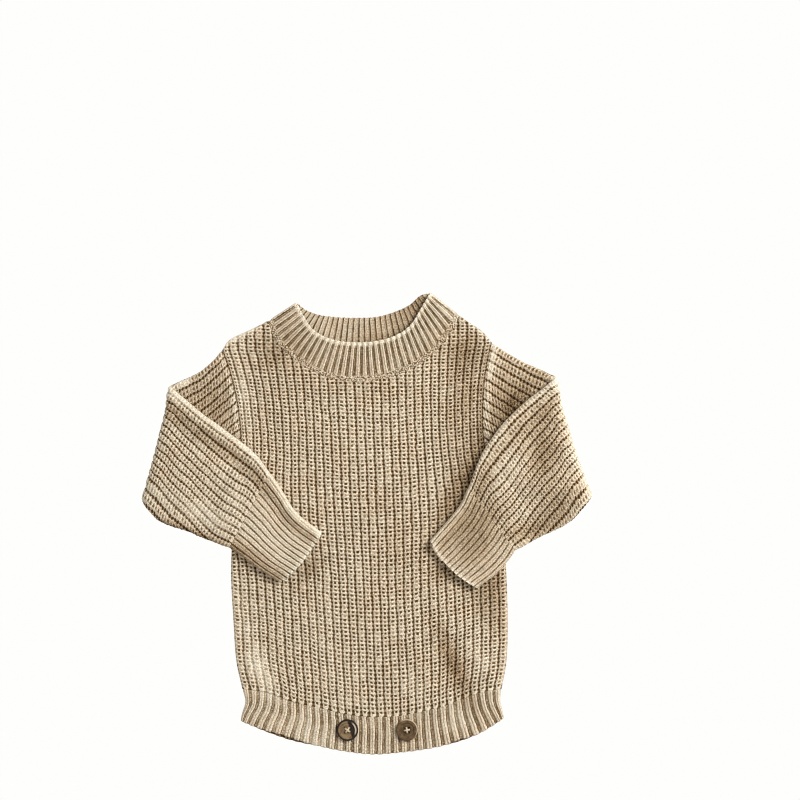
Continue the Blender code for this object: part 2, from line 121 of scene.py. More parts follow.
RIGHT = sleeved(
    "right",
    -1,
    (
        (0, 111.5, 164.0, 106.0, 63.0, 5.0),
        (0, 125.0, 155.5, 121.5, 53.5, 4.0),
        (0, 140.0, 147.0, 141.0, 43.0, 2.5),
        (0, 152.5, 141.5, 166.0, 32.0, 1.5),
        (0, 163.0, 136.5, 190.5, 24.0, 3.0),
        (90, 164.0, 132.0, 198.0, 19.5, 3.0),
        (180, 162.0, 128.0, 191.5, 10.5, 2.0),
        (180, 155.5, 122.5, 180.0, 1.0, 0.5),
        (180, 141.0, 111.5, 164.0, -7.0, 0.0),
        (180, 126.0, 97.0, 151.0, -13.0, 0.0),
        (180, 112.5, 81.0, 143.0, -18.0, 0.0),
        (180, 100.5, 61.0, 137.0, -21.0, 0.0),
        (180, 90.0, 34.0, 132.5, -23.0, 0.0),
    ),
    (
        (180, 83.0, 18.5, 125.0, -33.0, 1.5),
        (180, 71.0, 3.5, 113.5, -45.0, 3.0),
        (180, 56.0, -14.0, 98.0, -56.5, 5.0),
    ),
)
Point = namedtuple("Point", "x y")
SHOULDER_LEFT = table(Point, (-131.5, 157.5), (-124.5, 167.0), (-106.0, 176.0), (-90.0, 184.0))
SHOULDER_RIGHT = table(Point, (83.0, 188.5), (93.0, 181.3), (103.0, 174.4), (111.5, 164.5))
Spoke = namedtuple("Spoke", "seam_x seam_y edge_x edge_y")
COLLAR_FRONT = table(
    Spoke,
    (-90.0, 184.0, -65.5, 200.0),
    (-83.5, 166.5, -58.5, 187.0),
    (-67.5, 150.5, -49.5, 174.5),
    (-46.0, 136.5, -34.0, 166.5),
    (-20.5, 129.5, -16.0, 163.5),
    (6.5, 130.5, 3.5, 164.0),
    (31.5, 137.0, 23.5, 169.0),
    (51.5, 148.5, 38.5, 179.0),
    (70.0, 167.0, 49.5, 196.5),
    (83.0, 188.5, 57.0, 208.5),
)
COLLAR_BACK = COLLAR_FRONT[:1] + table(
    Spoke,
    (-75.0, 172.0, -56.0, 192.5),
    (-55.0, 162.5, -43.0, 188.0),
    (-31.5, 156.0, -26.0, 186.0),
    (-10.0, 153.0, -9.0, 185.5),
    (12.0, 154.0, 8.5, 186.5),
    (33.0, 159.0, 24.5, 191.0),
    (52.5, 167.0, 37.5, 197.0),
    (69.5, 178.0, 47.5, 205.5),
) + COLLAR_FRONT[-1:]
Hem = namedtuple("Hem", "seam_y edge_y")
HEM = table(
    Hem,
    (-147.5, -175.5),
    (-151.0, -185.5),
    (-159.5, -193.5),
    (-165.0, -198.5),
    (-170.5, -203.0),
    (-173.0, -205.5),
    (-172.0, -204.0),
    (-167.5, -201.0),
    (-161.0, -196.0),
    (-152.0, -187.5),
    (-147.5, -173.0),
)

# ---- the knit: how many wales each piece has, the height of a row, and where a wale and a row are sampled

BODY_WALES, SLEEVE_WALES, CUFF_WALES = 33, 24, 28
COLLAR_FRONT_WALES, COLLAR_CORNER_WALES, COLLAR_BACK_WALES = 31, 1, 29
COLLAR_BACK_START = COLLAR_FRONT_WALES + COLLAR_CORNER_WALES
COLLAR_WALES = COLLAR_BACK_START + COLLAR_BACK_WALES + COLLAR_CORNER_WALES
BODY_ROWS, NECK_ROW_Y = 102, 192.0  # rows from the hem up to this height, which is above the whole neckline
SLEEVE_ROW, RIB_ROW = 3.4, 2.6
WALE_SAMPLES = (0, 0.1, 0.28, 0.5, 0.72, 0.9)
RIB_SAMPLES = (0, 0.1, 0.2, 0.34, 0.5, 0.66, 0.8, 0.9)
ROW_SAMPLES, HIDDEN_ROW_SAMPLES, RIB_ROW_SAMPLES = 5, 3, 4
INNER_STEP = 20                     # rows of the outer face to a row of the inner one
RIM_TURNS = (30, 60, 90, 120, 150)  # degrees round a cast-off edge


# ---- curves and small sums, on arrays

def mix(a, b, t):
    return a + (b - a) * t


def ease(t):
    t = np.clip(t, 0, 1)
    return t * t * (3 - 2 * t)


def bell(t):
    return np.exp(-t * t)


Ridge = namedtuple("Ridge", "amount at reach")
Ramp = namedtuple("Ramp", "start reach")


def ridge(row, v):
    """A soft ridge, or a furrow where its amount is below 0."""
    return row.amount * bell((v - row.at) / row.reach)


def ramp(row, v):
    """0 before its start and 1 past its reach."""
    return ease((v - row.start) / row.reach)


def along(rows, t):
    """A smooth curve through a table's rows, where t counts rows."""
    rows = np.array(rows, float)
    before, after = 2 * rows[0] - rows[1], 2 * rows[-1] - rows[-2]
    t = np.asarray(t, float)
    i = np.clip(t.astype(int), 0, len(rows) - 2)
    f = (t - i)[..., None]
    rows = np.vstack((before, rows, after))
    p, q, r, s = rows[i], rows[i + 1], rows[i + 2], rows[i + 3]
    return q + 0.5 * f * (r - p + f * (2 * p - 5 * q + 4 * r - s + f * (3 * (q - r) + s - p)))


def stations(samples, wales):
    """Where the given number of wales is sampled, in wales."""
    return np.array([i + s for i in range(wales) for s in samples] + [wales])


def puff(x, y):
    """How far the air inside lifts the front of the body."""
    return PUFF * np.clip(1 - (x / PUFF_X) ** 2, 0, None) * np.clip(1 - (y / PUFF_Y) ** 2, 0, None)


def edge_drop(inset):
    """How far a round edge has dropped at a distance inside it."""
    return ROUND * (1 - np.sqrt(np.clip(1 - np.clip(1 - inset / ROUND, 0, 1) ** 2, 0, 1)))


def field(k, r, wide, high, seed, around=0):
    """Soft seeded noise from -1 to 1 on knit coordinates, in cells of that many wales and rows."""
    across = max(1, round(around / wide)) if around else 97
    up = 101
    values = np.random.default_rng(seed).uniform(-1, 1, (across, up))
    a, b = k / wide, r / high
    i, j = np.floor(a).astype(int), np.floor(b).astype(int)
    f, g = ease(a - i), ease(b - j)
    rows = [mix(values[i % across, row % up], values[(i + 1) % across, row % up], f) for row in (j, j + 1)]
    return mix(*rows, g)


Patch = namedtuple("Patch", "amount wide high seed")
# How far stitches lie out of place, in wales and in rows, and how uneven their relief, in mm, and tone are.
Uneven = namedtuple("Uneven", "aside along relief tone")
BODY_UNEVEN = Uneven(
    aside=table(Patch, (0.045, 1.0, 3.0, 11), (0.04, 3.0, 9.0, 12)),
    along=table(Patch, (0.16, 1.0, 4.0, 13), (0.25, 4.0, 7.0, 14)),
    relief=table(Patch, (0.18, 0.5, 1.0, 15)),
    tone=table(Patch, (0.05, 1.0, 2.0, 16), (0.05, 5.0, 12.0, 17)),
)
SLEEVE_UNEVEN = Uneven(
    aside=table(Patch, (0.05, 1.0, 3.0, 21), (0.05, 4.0, 9.0, 22)),
    along=table(Patch, (0.2, 1.0, 4.0, 23), (0.3, 4.0, 7.0, 24)),
    relief=table(Patch, (0.12, 0.5, 1.0, 25)),
    tone=table(Patch, (0.05, 1.0, 2.0, 26), (0.05, 5.0, 12.0, 27)),
)
COLLAR_UNEVEN, HEM_UNEVEN = (
    Uneven(
        aside=table(Patch, (0.05, 1.0, 8.0, seed + 1)),
        along=(),
        relief=table(Patch, (0.1, 0.5, 1.0, seed + 2)),
        tone=table(Patch, (0.05, 1.0, 4.0, seed + 3)),
    )
    for seed in (30, 40)
)
COLLAR_BASE = table(Patch, (0.5, 0.45, 0.6, 34))
LINING_TONE = table(Patch, (0.05, 1.0, 4.0, 35))


def uneven(patches, k, r, around=0):
    return sum(p.amount * field(k, r, p.wide, p.high, p.seed, around) for p in patches)


# ---- how the garment lies, and the painted light and shade on it: soft strokes, each from a start to an end, of an amount and a width

Stroke = namedtuple("Stroke", "x0 y0 x1 y1 amount width")
STROKE_FADE = Ridge(1, 0.5, 0.45)   # by the share of its length
FRONT_CREASES = table(              # mm that the front stands up or sinks
    Stroke,
    (60, -88, 96, -165, -1.1, 8),
    (82, -92, 116, -142, 1.2, 9),
    (36, -108, 66, -166, 0.9, 10),
    (112, -88, 88, -36, -1.0, 11),
    (-114, -70, -100, -135, 0.8, 10),
    (-104, -128, -60, -160, 1.2, 11),
    (-60, 40, -20, 95, -0.7, 14),
    (112, 98, 60, -8, -1.1, 12),
    (98, 166, 74, 138, -0.7, 14),
    (-95, 168, -76, 146, -0.7, 13),
    (60, 5, 20, -40, 0.7, 13),
)
BACK_CREASES = table(               # mm that the back is lifted off what it lies on
    Stroke,
    (-72, -96, -28, -20, 0.9, 11),
    (48, -58, 22, 36, 0.8, 14),
    (-58, 62, -6, 84, 0.6, 10),
    (66, 92, 84, 40, 0.5, 12),
    (-8, -128, 40, -112, 0.5, 9),
)
SLEEVE_CREASES = {                  # mm that a forearm's upper layer stands up or sinks
    "left": table(
        Stroke,
        (-184, 36, -114, -2, 1.1, 12),
        (-160, 108, -120, 52, -0.9, 10),
        (-150, 62, -112, 30, 0.6, 10),
    ),
    "right": table(
        Stroke,
        (112, 74, 136, 34, 1.1, 12),
        (160, 100, 150, 40, -1.1, 12),
        (128, 10, 92, -8, -0.9, 12),
        (150, -2, 186, 14, 0.6, 8),
    ),
}
COLLAR_PAINTED_SHADING = table(              # from here on, painted light where the amount is above 0 and painted shade where it is below
    Stroke,
    (-84, 186, -52, 146, -0.16, 11),
    (34, 146, 70, 180, -0.10, 11),
    (62, 204, 84, 184, 0.20, 8),
)
# painted light and shade on the front and on the front hem band
FRONT_PAINTED_SHADING = table(
    Stroke,
    (120, 104, 58, -16, -0.46, 12),
    (98, 150, 76, 60, -0.22, 24),
    (98, 172, 76, 138, -0.36, 17),
    (-96, 172, -74, 142, -0.34, 15),
    (-70, 124, 70, 124, -0.09, 18),
    (-116, -50, -102, -130, 0.19, 9),
    (-114, -104, -78, -156, 0.16, 9),
    (-104, -168, -20, -198, 0.15, 12),
    (-119, 160, -106, 66, 0.22, 8),
    (118, -96, 96, -28, -0.28, 14),
    (84, -40, 56, -46, -0.24, 10),
    (124, -62, 104, -24, -0.26, 8),
    (60, -88, 94, -164, -0.48, 8),
    (88, -98, 114, -140, 0.10, 9),
    (56, -184, 104, -178, 0.12, 9),
    (34, -130, 50, -164, 0.14, 10),
    (-66, -56, -42, -24, -0.34, 9),
    (-18, -160, -18, -200, -0.14, 9),
    (35, -160, 44, -200, -0.14, 10),
    (-62, -70, -24, -190, 0.10, 40),
    (-108, -124, -84, -158, 0.17, 9),
)
# painted light and shade on the upper arms
UPPER_ARM_PAINTED_SHADING = {
    "left": table(Stroke, (-150, 136, -134, 92, -0.12, 12), (-178, 125, -158, 134, 0.60, 6)),
    "right": table(Stroke, (152, 134, 110, 82, -0.40, 12), (114, 166, 112, 128, 0.20, 6)),
}
# painted light and shade on the forearms and cuffs
FOREARM_PAINTED_SHADING = {
    "left": table(
        Stroke,
        (-188, 30, -112, -8, 0.21, 10),
        (-134, 40, -104, 8, 0.14, 10),
        (-108, -4, -68, -38, 0.06, 13),
        (-204, 7, -122, -24, -0.76, 5.5),
        (-170, 88, -160, 34, 0.06, 12),
    ),
    "right": table(
        Stroke,
        (134, 56, 128, 22, 0.08, 10),
        (108, 56, 92, 22, -0.20, 11),
        (160, 108, 156, 24, -0.34, 14),
        (132, 22, 76, -6, -0.32, 16),
        (112, -8, 76, -34, -0.35, 18),
        (196, 40, 150, -6, -0.30, 12),
        (112, -12, 176, 2, -0.32, 10),
    ),
}


def strokes(rows, x, y):
    """The sum of a table's strokes, which fade out at both ends."""
    total = np.zeros(np.shape(x))
    for stroke in rows:
        run = np.array((stroke.x1 - stroke.x0, stroke.y1 - stroke.y0), float)
        size = math.hypot(*run)
        run /= size
        dx, dy = x - stroke.x0, y - stroke.y0
        t = (dx * run[0] + dy * run[1]) / size
        off = dx * run[1] - dy * run[0]
        total += stroke.amount * bell(off / stroke.width) * ridge(STROKE_FADE, t)
    return total


# ---- stitches, as relief

SLANT, SLANT_POWER = 0.7, 1.5       # rows that a V's legs rise to the grooves, and how they bend
RIB_SLANT, RIB_BEAD = 0.8, 0.1
RIB_ROUND, CLEFT_REACH = 0.28, 0.14     # of half a rib's spacing
ARCH_POWER = 2.4
GROOVE, HOLE, BEAD = 1.7, 0.8, 0.3
HOLE_REACH = 0.35                   # of half a wale
UNEVEN_ROWS = 3                     # in which the unevenness along a wale sets in
BODY_JOIN, SLEEVE_JOIN, HEM_JOIN = 0.8, 1.3, 1.5    # rows in which a seam's profile turns into stitches
STAND = 0.3                         # of the stitches' tops over the wall's outer face
TIP, SLEEVE_TIP = 0.34, 0.75        # square of the share of its width that a wale begins with
TIP_ROWS = 1.1                      # in which it widens
JOIN_DEPTH, JOIN_LEVEL = 1.1, -0.35     # of the grooves at the hem's seam, and of a sleeve at its cuff
SEAM_LEVEL, SEAM_REACH = -0.15, 2.5     # of a side seam
# Ribs: width is a rib's share of their spacing, cleft how far its two strands part and how dark the painted
# shade between them is, recess how dark the painted shade is between ribs, wall how dark the painted shade
# at a rib's foot is, base how many rows of small stitches come first, and rows how many there are.
Rib = namedtuple("Rib", "width depth cleft recess wall base rows")
COLLAR_RIB = Rib(0.58, 1.9, 0.34, 0.80, 1.0, 1.9, COLLAR_DEEP / RIB_ROW)
COLLAR_LINING = Rib(0.74, 1.4, 0.12, 1.0, 1.0, 0, 0)
CUFF_RIB = Rib(0.73, 1.2, 0.24, 0.86, 0.6, 0, 0)
HEM_RIB = Rib(0.58, 1.6, 0.36, 0.80, 1.0, 0, 0)


def from_middle(k):
    return np.abs(2 * (k % 1) - 1)


def arch(across):
    """A wale's profile, from its middle to a groove."""
    return np.sqrt(np.clip(1 - across ** ARCH_POWER, 0, 1))


def chunky(k, r):
    """The body's stitches: each wale is two strands of Vs round a row of holes, between two grooves."""
    across = from_middle(k)
    valley = 0.5 + 0.5 * np.cos(math.tau * (r - SLANT * across ** SLANT_POWER))
    return GROOVE * (arch(across) - 1) - valley * (BEAD + (HOLE - BEAD) * bell(across / HOLE_REACH)) + STAND


def ribbed(k, r, rib=CUFF_RIB):
    """The bands' stitches: ribs of two strands, and recesses."""
    across = from_middle(k)
    top = 1 - ease((across - rib.width + RIB_ROUND / 2) / RIB_ROUND)
    bead = RIB_BEAD * np.cos(math.tau * (r - RIB_SLANT * across))
    return rib.depth * (top - 1) - (rib.cleft * bell(across / CLEFT_REACH) + bead) * top + STAND


def joined(k):
    """The profile across the wales where one piece is knitted on to the next."""
    return JOIN_DEPTH * (arch(from_middle(k)) - 1)


# ---- meshes

Lining = namedtuple("Lining", "relief tone material")
# Where things lie on the map: an outer face, a cast-off edge, the edges at the first row and at a last row
# that isn't cast off, and how high these are there, then the inner face and the sides.
MAP_LEFT, MAP_RIGHT, MAP_FOOT, MAP_TOP = 0.005, 0.995, 0.005, 0.78
MAP_RIM, MAP_RIM_STEP, MAP_RIM_END = 0.782, 0.003, 0.798
MAP_START, MAP_END, MAP_BAND = 0.786, 0.79, 0.002
MAP_INNER_FOOT, MAP_INNER_TOP, MAP_SIDE = 0.80, 0.995, 0.998
RIM_RELIEF, RIM_ROW = 0.8, 0.15     # of the stitches at a cast-off edge, and the rows to a turn round it


def faces_of(grid, places):
    """The quads between the rows of a grid of vertex numbers, and the map places of their corners."""
    def corners(a):
        return np.stack((a[:-1, :-1], a[:-1, 1:], a[1:, 1:], a[1:, :-1]), -1).reshape((-1, 4) + a.shape[2:])
    return corners(grid), corners(places)


def face_normals(points, quads):
    a, b, c, d = (points[quads[:, i]] for i in range(4))
    return np.cross(c - a, d - b)


def unit(vectors):
    return vectors / np.maximum(np.linalg.norm(vectors, axis=1), 1e-9)[:, None]


def point_normals(points, quads):
    normals = np.zeros_like(points)
    crosses = face_normals(points, quads)
    for i in range(4):
        for axis in range(3):
            normals[:, axis] += np.bincount(quads[:, i], crosses[:, axis], len(points))
    return unit(normals)


def linked(name, data):
    made = bpy.data.objects.new(name, data)
    bpy.context.scene.collection.objects.link(made)
    return made


def placed(name, mesh, material):
    mesh.materials.append(material)
    mesh.shade_smooth()
    return linked(name, mesh)


class Wall:
    """A cloth wall's points, with their knit coordinates and tones, and its faces. A face is four vertex
    numbers, of which some may be equal, its corners' places on the map, and whether it shows the lining."""

    def __init__(self):
        self.points, self.knit = [], []
        self.quads, self.places, self.lined = [], [], []

    def add_points(self, points, knit):
        self.points.append(points)
        self.knit.append(knit)

    def add_faces(self, quads, places, lined=False):
        self.quads.append(quads)
        self.places.append(places)
        self.lined.append(np.full(len(quads), lined))

    def band(self, low, high, height, lined=False):
        """Faces between two rows of points, at a height on the map."""
        places = np.meshgrid(np.linspace(MAP_LEFT, MAP_RIGHT, len(low)), (height, height + MAP_BAND))
        self.add_faces(*faces_of(np.stack((low, high)), np.stack(places, -1)), lined)

    def made(self, name, material, lining):
        points, knit = np.concatenate(self.points), np.concatenate(self.knit)
        quads, places = np.concatenate(self.quads), np.concatenate(self.places)
        volume = (face_normals(points, quads) * points[quads].mean(1)).sum()
        if volume < 0:
            quads, places = quads[:, ::-1], places[:, ::-1]
        keep = np.stack([quads[:, i] != quads[:, i - 1] for i in range(4)], 1)
        sizes = keep.sum(1)
        whole = sizes >= 3
        keep &= whole[:, None]
        sizes = sizes[whole]
        used, loops = np.unique(quads[keep], return_inverse=True)
        mesh = bpy.data.meshes.new(name)
        mesh.vertices.add(len(used))
        mesh.vertices.foreach_set("co", (points[used] * MM).astype(np.float32).ravel())
        mesh.loops.add(len(loops))
        mesh.loops.foreach_set("vertex_index", loops.astype(np.int32).ravel())
        mesh.polygons.add(len(sizes))
        mesh.polygons.foreach_set("loop_start", np.append(0, np.cumsum(sizes)[:-1]).astype(np.int32))
        if lining:
            mesh.polygons.foreach_set("material_index", np.concatenate(self.lined)[whole].astype(np.int32))
        mesh.update(calc_edges=True)
        stitches = mesh.attributes.new("knit", "FLOAT_VECTOR", "POINT")
        stitches.data.foreach_set("vector", knit[used].astype(np.float32).ravel())
        mesh.uv_layers.new(name="OFBake").uv.foreach_set("vector", places[keep].astype(np.float32).ravel())
        piece = placed(name, mesh, material)
        if lining:
            mesh.materials.append(lining.material)
        return piece


def shell(name, base, k, r, relief, tone, material, last=None, closed=False, rim=False, lining=None, side=0):
    """A cloth wall. base is a grid of points on its outer face, rows by columns, k and r its knit
    coordinates, and relief how far the stitches stand out. last is the row where each column ends. rim
    says that the last row is cast off. lining is the relief, tone and material of an inner face that
    shows, whose stitches lie half a wale aside. side is 1 or -1 where the outer face of an open piece
    faces up or down."""
    rows, columns = base.shape[:2]
    count = rows * columns
    numbers = np.arange(count).reshape(rows, columns)
    if last is not None:
        numbers = np.minimum(np.arange(rows)[:, None], last) * columns + np.arange(columns)
    if closed:
        numbers = np.hstack((numbers, numbers[:, :1]))
    points = base.reshape(-1, 3)
    across, up = np.linspace(MAP_LEFT, MAP_RIGHT, numbers.shape[1]), np.linspace(MAP_FOOT, MAP_TOP, rows)
    outer, outer_places = faces_of(numbers, np.stack(np.meshgrid(across, up), -1))
    normals = point_normals(points, outer)
    crosses = face_normals(points, outer)
    from_middle_out = points[outer].mean(1) - points.mean(0)
    outward = crosses[:, 2].sum() * side if side else (crosses * from_middle_out).sum()
    if outward < 0:
        normals = -normals
    stand = relief.reshape(-1, 1)
    knit = np.stack((k, r, tone), -1).reshape(-1, 3)
    if lining:
        inner_stand = lining.relief.reshape(-1, 1)
        inner_knit = np.stack((k + 0.5, r, lining.tone), -1).reshape(-1, 3)
    else:
        inner_stand = np.zeros_like(stand)
        inner_knit = knit

    wall = Wall()
    wall.add_points(points + normals * stand, knit)
    wall.add_points(points - normals * (WALL - inner_stand), inner_knit)
    wall.add_faces(outer, outer_places)
    chosen = sorted({*range(0, rows - 1, 1 if lining else INNER_STEP), rows - 1})
    inner_numbers = numbers[chosen] + count
    up = np.linspace(MAP_INNER_TOP, MAP_INNER_FOOT, len(chosen))
    inner, inner_places = faces_of(inner_numbers, np.stack(np.meshgrid(across, up), -1))
    wall.add_faces(inner[:, ::-1], inner_places[:, ::-1], True)

    before = ends = numbers[-1]
    if rim:
        tangent = unit(points[ends] - points[numbers[-2]])
        normal = normals[ends]
        start = 2 * count
        for i, turn in enumerate(map(math.radians, RIM_TURNS)):
            out = tangent * math.sin(turn) + normal * math.cos(turn)
            level = mix(stand[ends] * RIM_RELIEF, inner_stand[ends] * RIM_RELIEF, (1 - math.cos(turn)) / 2)
            ring = points[ends] - normal * WALL / 2 + out * (WALL / 2 + level)
            inward = turn > math.pi / 2
            ring_knit = (inner_knit if inward else knit)[ends] + (0, RIM_ROW * (i + 1), 0)
            wall.add_points(ring[:columns], ring_knit[:columns])
            here = start + np.arange(len(ends)) % columns
            wall.band(before, here, MAP_RIM + MAP_RIM_STEP * i, inward)
            before = here
            start += columns
    wall.band(before, inner_numbers[-1], MAP_RIM_END if rim else MAP_END, rim)
    wall.band(inner_numbers[0], numbers[0], MAP_START)
    if not closed:
        for column, order in ((0, 1), (-1, -1)):
            outer_edge, inner_edge = numbers[:, column], numbers[:, column] + count
            quads = []
            for a, b in zip(chosen, chosen[1:]):
                near, far = inner_edge[a], inner_edge[b]
                middle = (a + b) // 2
                for row in range(a, b):
                    inner_end = near if row < middle else far
                    quads.append((outer_edge[row], outer_edge[row + 1], inner_end, inner_end))
                quads.append((outer_edge[middle], far, near, near))
            wall.add_faces(np.array(quads)[:, ::order], np.full((len(quads), 4, 2), MAP_SIDE))
    return wall.made(name, material, lining)


# ---- materials

class Value:
    """What a node puts out. Each operation on it adds a node."""

    def __init__(self, shades, socket):
        self.shades, self.socket = shades, socket

    def math(self, operation, *others):
        return self.shades.node("Math", self, *others, operation=operation)

    def __add__(self, other):
        return self.math("ADD", other)

    def __sub__(self, other):
        return self.math("SUBTRACT", other)

    def __rsub__(self, other):
        return self.shades.node("Math", other, self, operation="SUBTRACT")

    def __mul__(self, other):
        return self.math("MULTIPLY", other)

    def __truediv__(self, other):
        return self.math("DIVIDE", other)

    def __pow__(self, other):
        return self.math("POWER", other)

    def times(self, factor, plus):
        return self.math("MULTIPLY_ADD", factor, plus)

    def wave(self):
        """A cosine from 0 to 1."""
        return self.math("COSINE").times(0.5, 0.5)

    def remap(self, low, high, to_low=0.0, to_high=1.0, kind="SMOOTHSTEP"):
        return self.shades.node("MapRange", self, low, high, to_low, to_high, interpolation_type=kind)

    def split(self, kind="XYZ"):
        node = self.shades.add("Separate" + kind, self)
        return [Value(self.shades, output) for output in node.outputs]


class Shades:
    """A material's nodes."""

    def __init__(self, name, **sockets):
        self.material = bpy.data.materials.new(name)
        self.material.use_nodes = True
        self.tree = self.material.node_tree
        self.shader = self.tree.nodes["Principled BSDF"]
        for socket, value in sockets.items():
            self.shader.inputs[socket.replace("_", " ")].default_value = value

    def feed(self, value, socket):
        if isinstance(value, Value):
            self.tree.links.new(value.socket, socket)
        elif value is not None:
            socket.default_value = value

    def add(self, kind, *inputs, **settings):
        node = self.tree.nodes.new("ShaderNode" + kind)
        for name, value in settings.items():
            setattr(node, name, value)
        for value, socket in zip(inputs, node.inputs):
            self.feed(value, socket)
        return node

    def node(self, kind, *inputs, output=0, **settings):
        return Value(self, self.add(kind, *inputs, **settings).outputs[output])

    def mix(self, factor, a, b, blend="MIX"):
        node = self.add("Mix", factor, data_type="RGBA", blend_type=blend)
        for value, socket in zip((a, b), node.inputs[6:8]):
            self.feed((*value, 1) if isinstance(value, tuple) else value, socket)
        return Value(self, node.outputs[2])

    def noise(self, vector, scale, detail=2.0, roughness=0.5, output="Fac"):
        node = self.add("TexNoise", vector)
        for name, value in (("Scale", scale), ("Detail", detail), ("Roughness", roughness)):
            node.inputs[name].default_value = value
        return Value(self, node.outputs[output])

    def place(self):
        return self.node("TexCoord", output="Object")

    def bump(self, height, distance, strength, normal=None):
        return self.node("Bump", strength, distance, None, height, normal)

    def finish(self, colour, normal=None):
        self.feed(colour, self.shader.inputs["Base Color"])
        self.feed(normal, self.shader.inputs["Normal"])
        return self.material


# the yarn's own colour, then the colours of the painted shade in its hollows, half and deep
LIGHT_YARN, YARN_IN_HALF_SHADE, YARN_IN_DEEP_SHADE = (0.845, 0.752, 0.603), (0.385, 0.272, 0.145), (0.070, 0.033, 0.008)
PLAIN, PLAIN_DARK = 0.35, 0.40      # the tone, where light is painted on, at which the hollows are lightest, and how dark they are then
LIFT = 0.4                          # of a light tone, which reaches the strands too
TINT = (0.32, 0.70)                 # how much more green and blue there is where the tone is lighter, so that painted shade comes out browner
YARN = {"Roughness": 0.9, "Sheen_Weight": 0.05, "Sheen_Roughness": 0.5, "Specular_IOR_Level": 0.1}
PATCHES, FIBRES, FLECKS, BACKS, SHADE_PATCHES = 45.0, 2200.0, 850.0, 900.0, 70.0     # noises, by their scale


def yarn_finish(shades, dark, tone, plies):
    """The yarn's colour, darkened by painted shade where a place lies deep, and made lighter or darker by
    the tone, which holds painted light and shade as well as random unevenness, with heathering, fibres and
    the bump that every knit shares."""
    place = shades.place()
    patches = shades.noise(place, PATCHES)
    fibre = shades.noise(place, FIBRES, roughness=0.6)
    fleck = shades.noise(place, FLECKS, roughness=0.6)
    # where the tone is painted light, the painted shade in the hollows is weaker
    dark = dark * tone.remap(0.0, PLAIN, 1.0, PLAIN_DARK)
    tone = tone.math("MINIMUM", tone * LIFT)
    green, blue = (tone.times(share, 1.0) for share in TINT)
    # the painted shade of the hollows, from half to deep
    shown = shades.mix(dark.remap(0.0, 0.7, kind="LINEAR"), LIGHT_YARN, YARN_IN_HALF_SHADE)
    colour = shades.mix(dark.remap(0.35, 1.0, kind="LINEAR"), shown, YARN_IN_DEEP_SHADE)
    warm = shades.mix(patches.remap(0.35, 0.7), (1.0, 0.99, 0.97), (1.0, 0.95, 0.90))
    level = (fleck.remap(0.36, 0.64, 0.64, 1.10) + tone) * fibre.remap(0.35, 0.65, 0.84, 1.08)
    tinted = shades.node("CombineColor", level, level * green, level * blue)
    colour = shades.mix(1.0, shades.mix(1.0, colour, warm, "MULTIPLY"), tinted, "MULTIPLY")
    normal = shades.bump(1.0 - dark, 0.0006, 0.6)
    return shades.finish(colour, shades.bump(fibre.times(0.6, plies), 0.00025, 0.7, normal))


def knit_place(shades, wander):
    """The knit coordinates, with every stitch a little out of place: the distance from the middle of its
    wale (0) to a groove (1), whether that is on the far side, the row, the numbers of the stitch's wale and
    row, and the mesh's tone."""
    k, r, tone = shades.node("Attribute", output="Vector", attribute_name="knit").split()
    warp = shades.noise(shades.node("CombineXYZ", k * 1.9, r), 0.9, output="Color")
    aside, along_row = ((part - 0.5) * wander for part in warp.split("Color")[:2])
    k = k + aside
    r = along_row.times(1.6, r)
    signed = k.math("FRACT").times(2.0, -1.0)
    cell = shades.node("CombineXYZ", k.math("FLOOR"), r.math("ROUND"))
    return signed.math("ABSOLUTE"), signed.math("GREATER_THAN", 0.0), r, cell, tone


def chunky_knit(name, hole_shade, tip_width):
    """Wales that end in tips at their first row, with painted shade in their holes, grooves and the valleys
    of their Vs. hole_shade is how dark that shade is in the holes.
    """
    shades = Shades(name, **YARN)
    across, _, r, cell, tone = knit_place(shades, 0.34)
    across = (across / r.remap(0.0, TIP_ROWS, tip_width, 1.0, "LINEAR").math("SQRT")).math("MINIMUM", 1.0)
    phase = (r - across ** SLANT_POWER * SLANT) * math.tau
    level = (r * math.tau).wave()
    chance = shades.node("TexWhiteNoise", cell, noise_dimensions="2D").remap(0.0, 0.55, 0.5, 1.0, "LINEAR")
    # painted shade in the holes, in the beaded grooves and in the valleys of the Vs
    hole = across.remap(0.16, 0.48, 1.0, 0.0) * chance * level.remap(0.18, 0.66, 0.0, hole_shade)
    hole = hole * r.remap(0.3, 0.6)
    begun = r.remap(0.3, 0.8)
    groove = (level * (begun * 0.20) + across).remap(0.72, 1.0)
    beads = groove * level.remap(0.0, 1.0, 0.74, 1.0)
    valley = phase.wave().remap(0.5, 1.0) * (begun * 0.36)
    dark = hole.math("MAXIMUM", beads).math("MAXIMUM", valley)
    return yarn_finish(shades, dark, tone, (phase * 3.0).math("SINE") * 0.25)


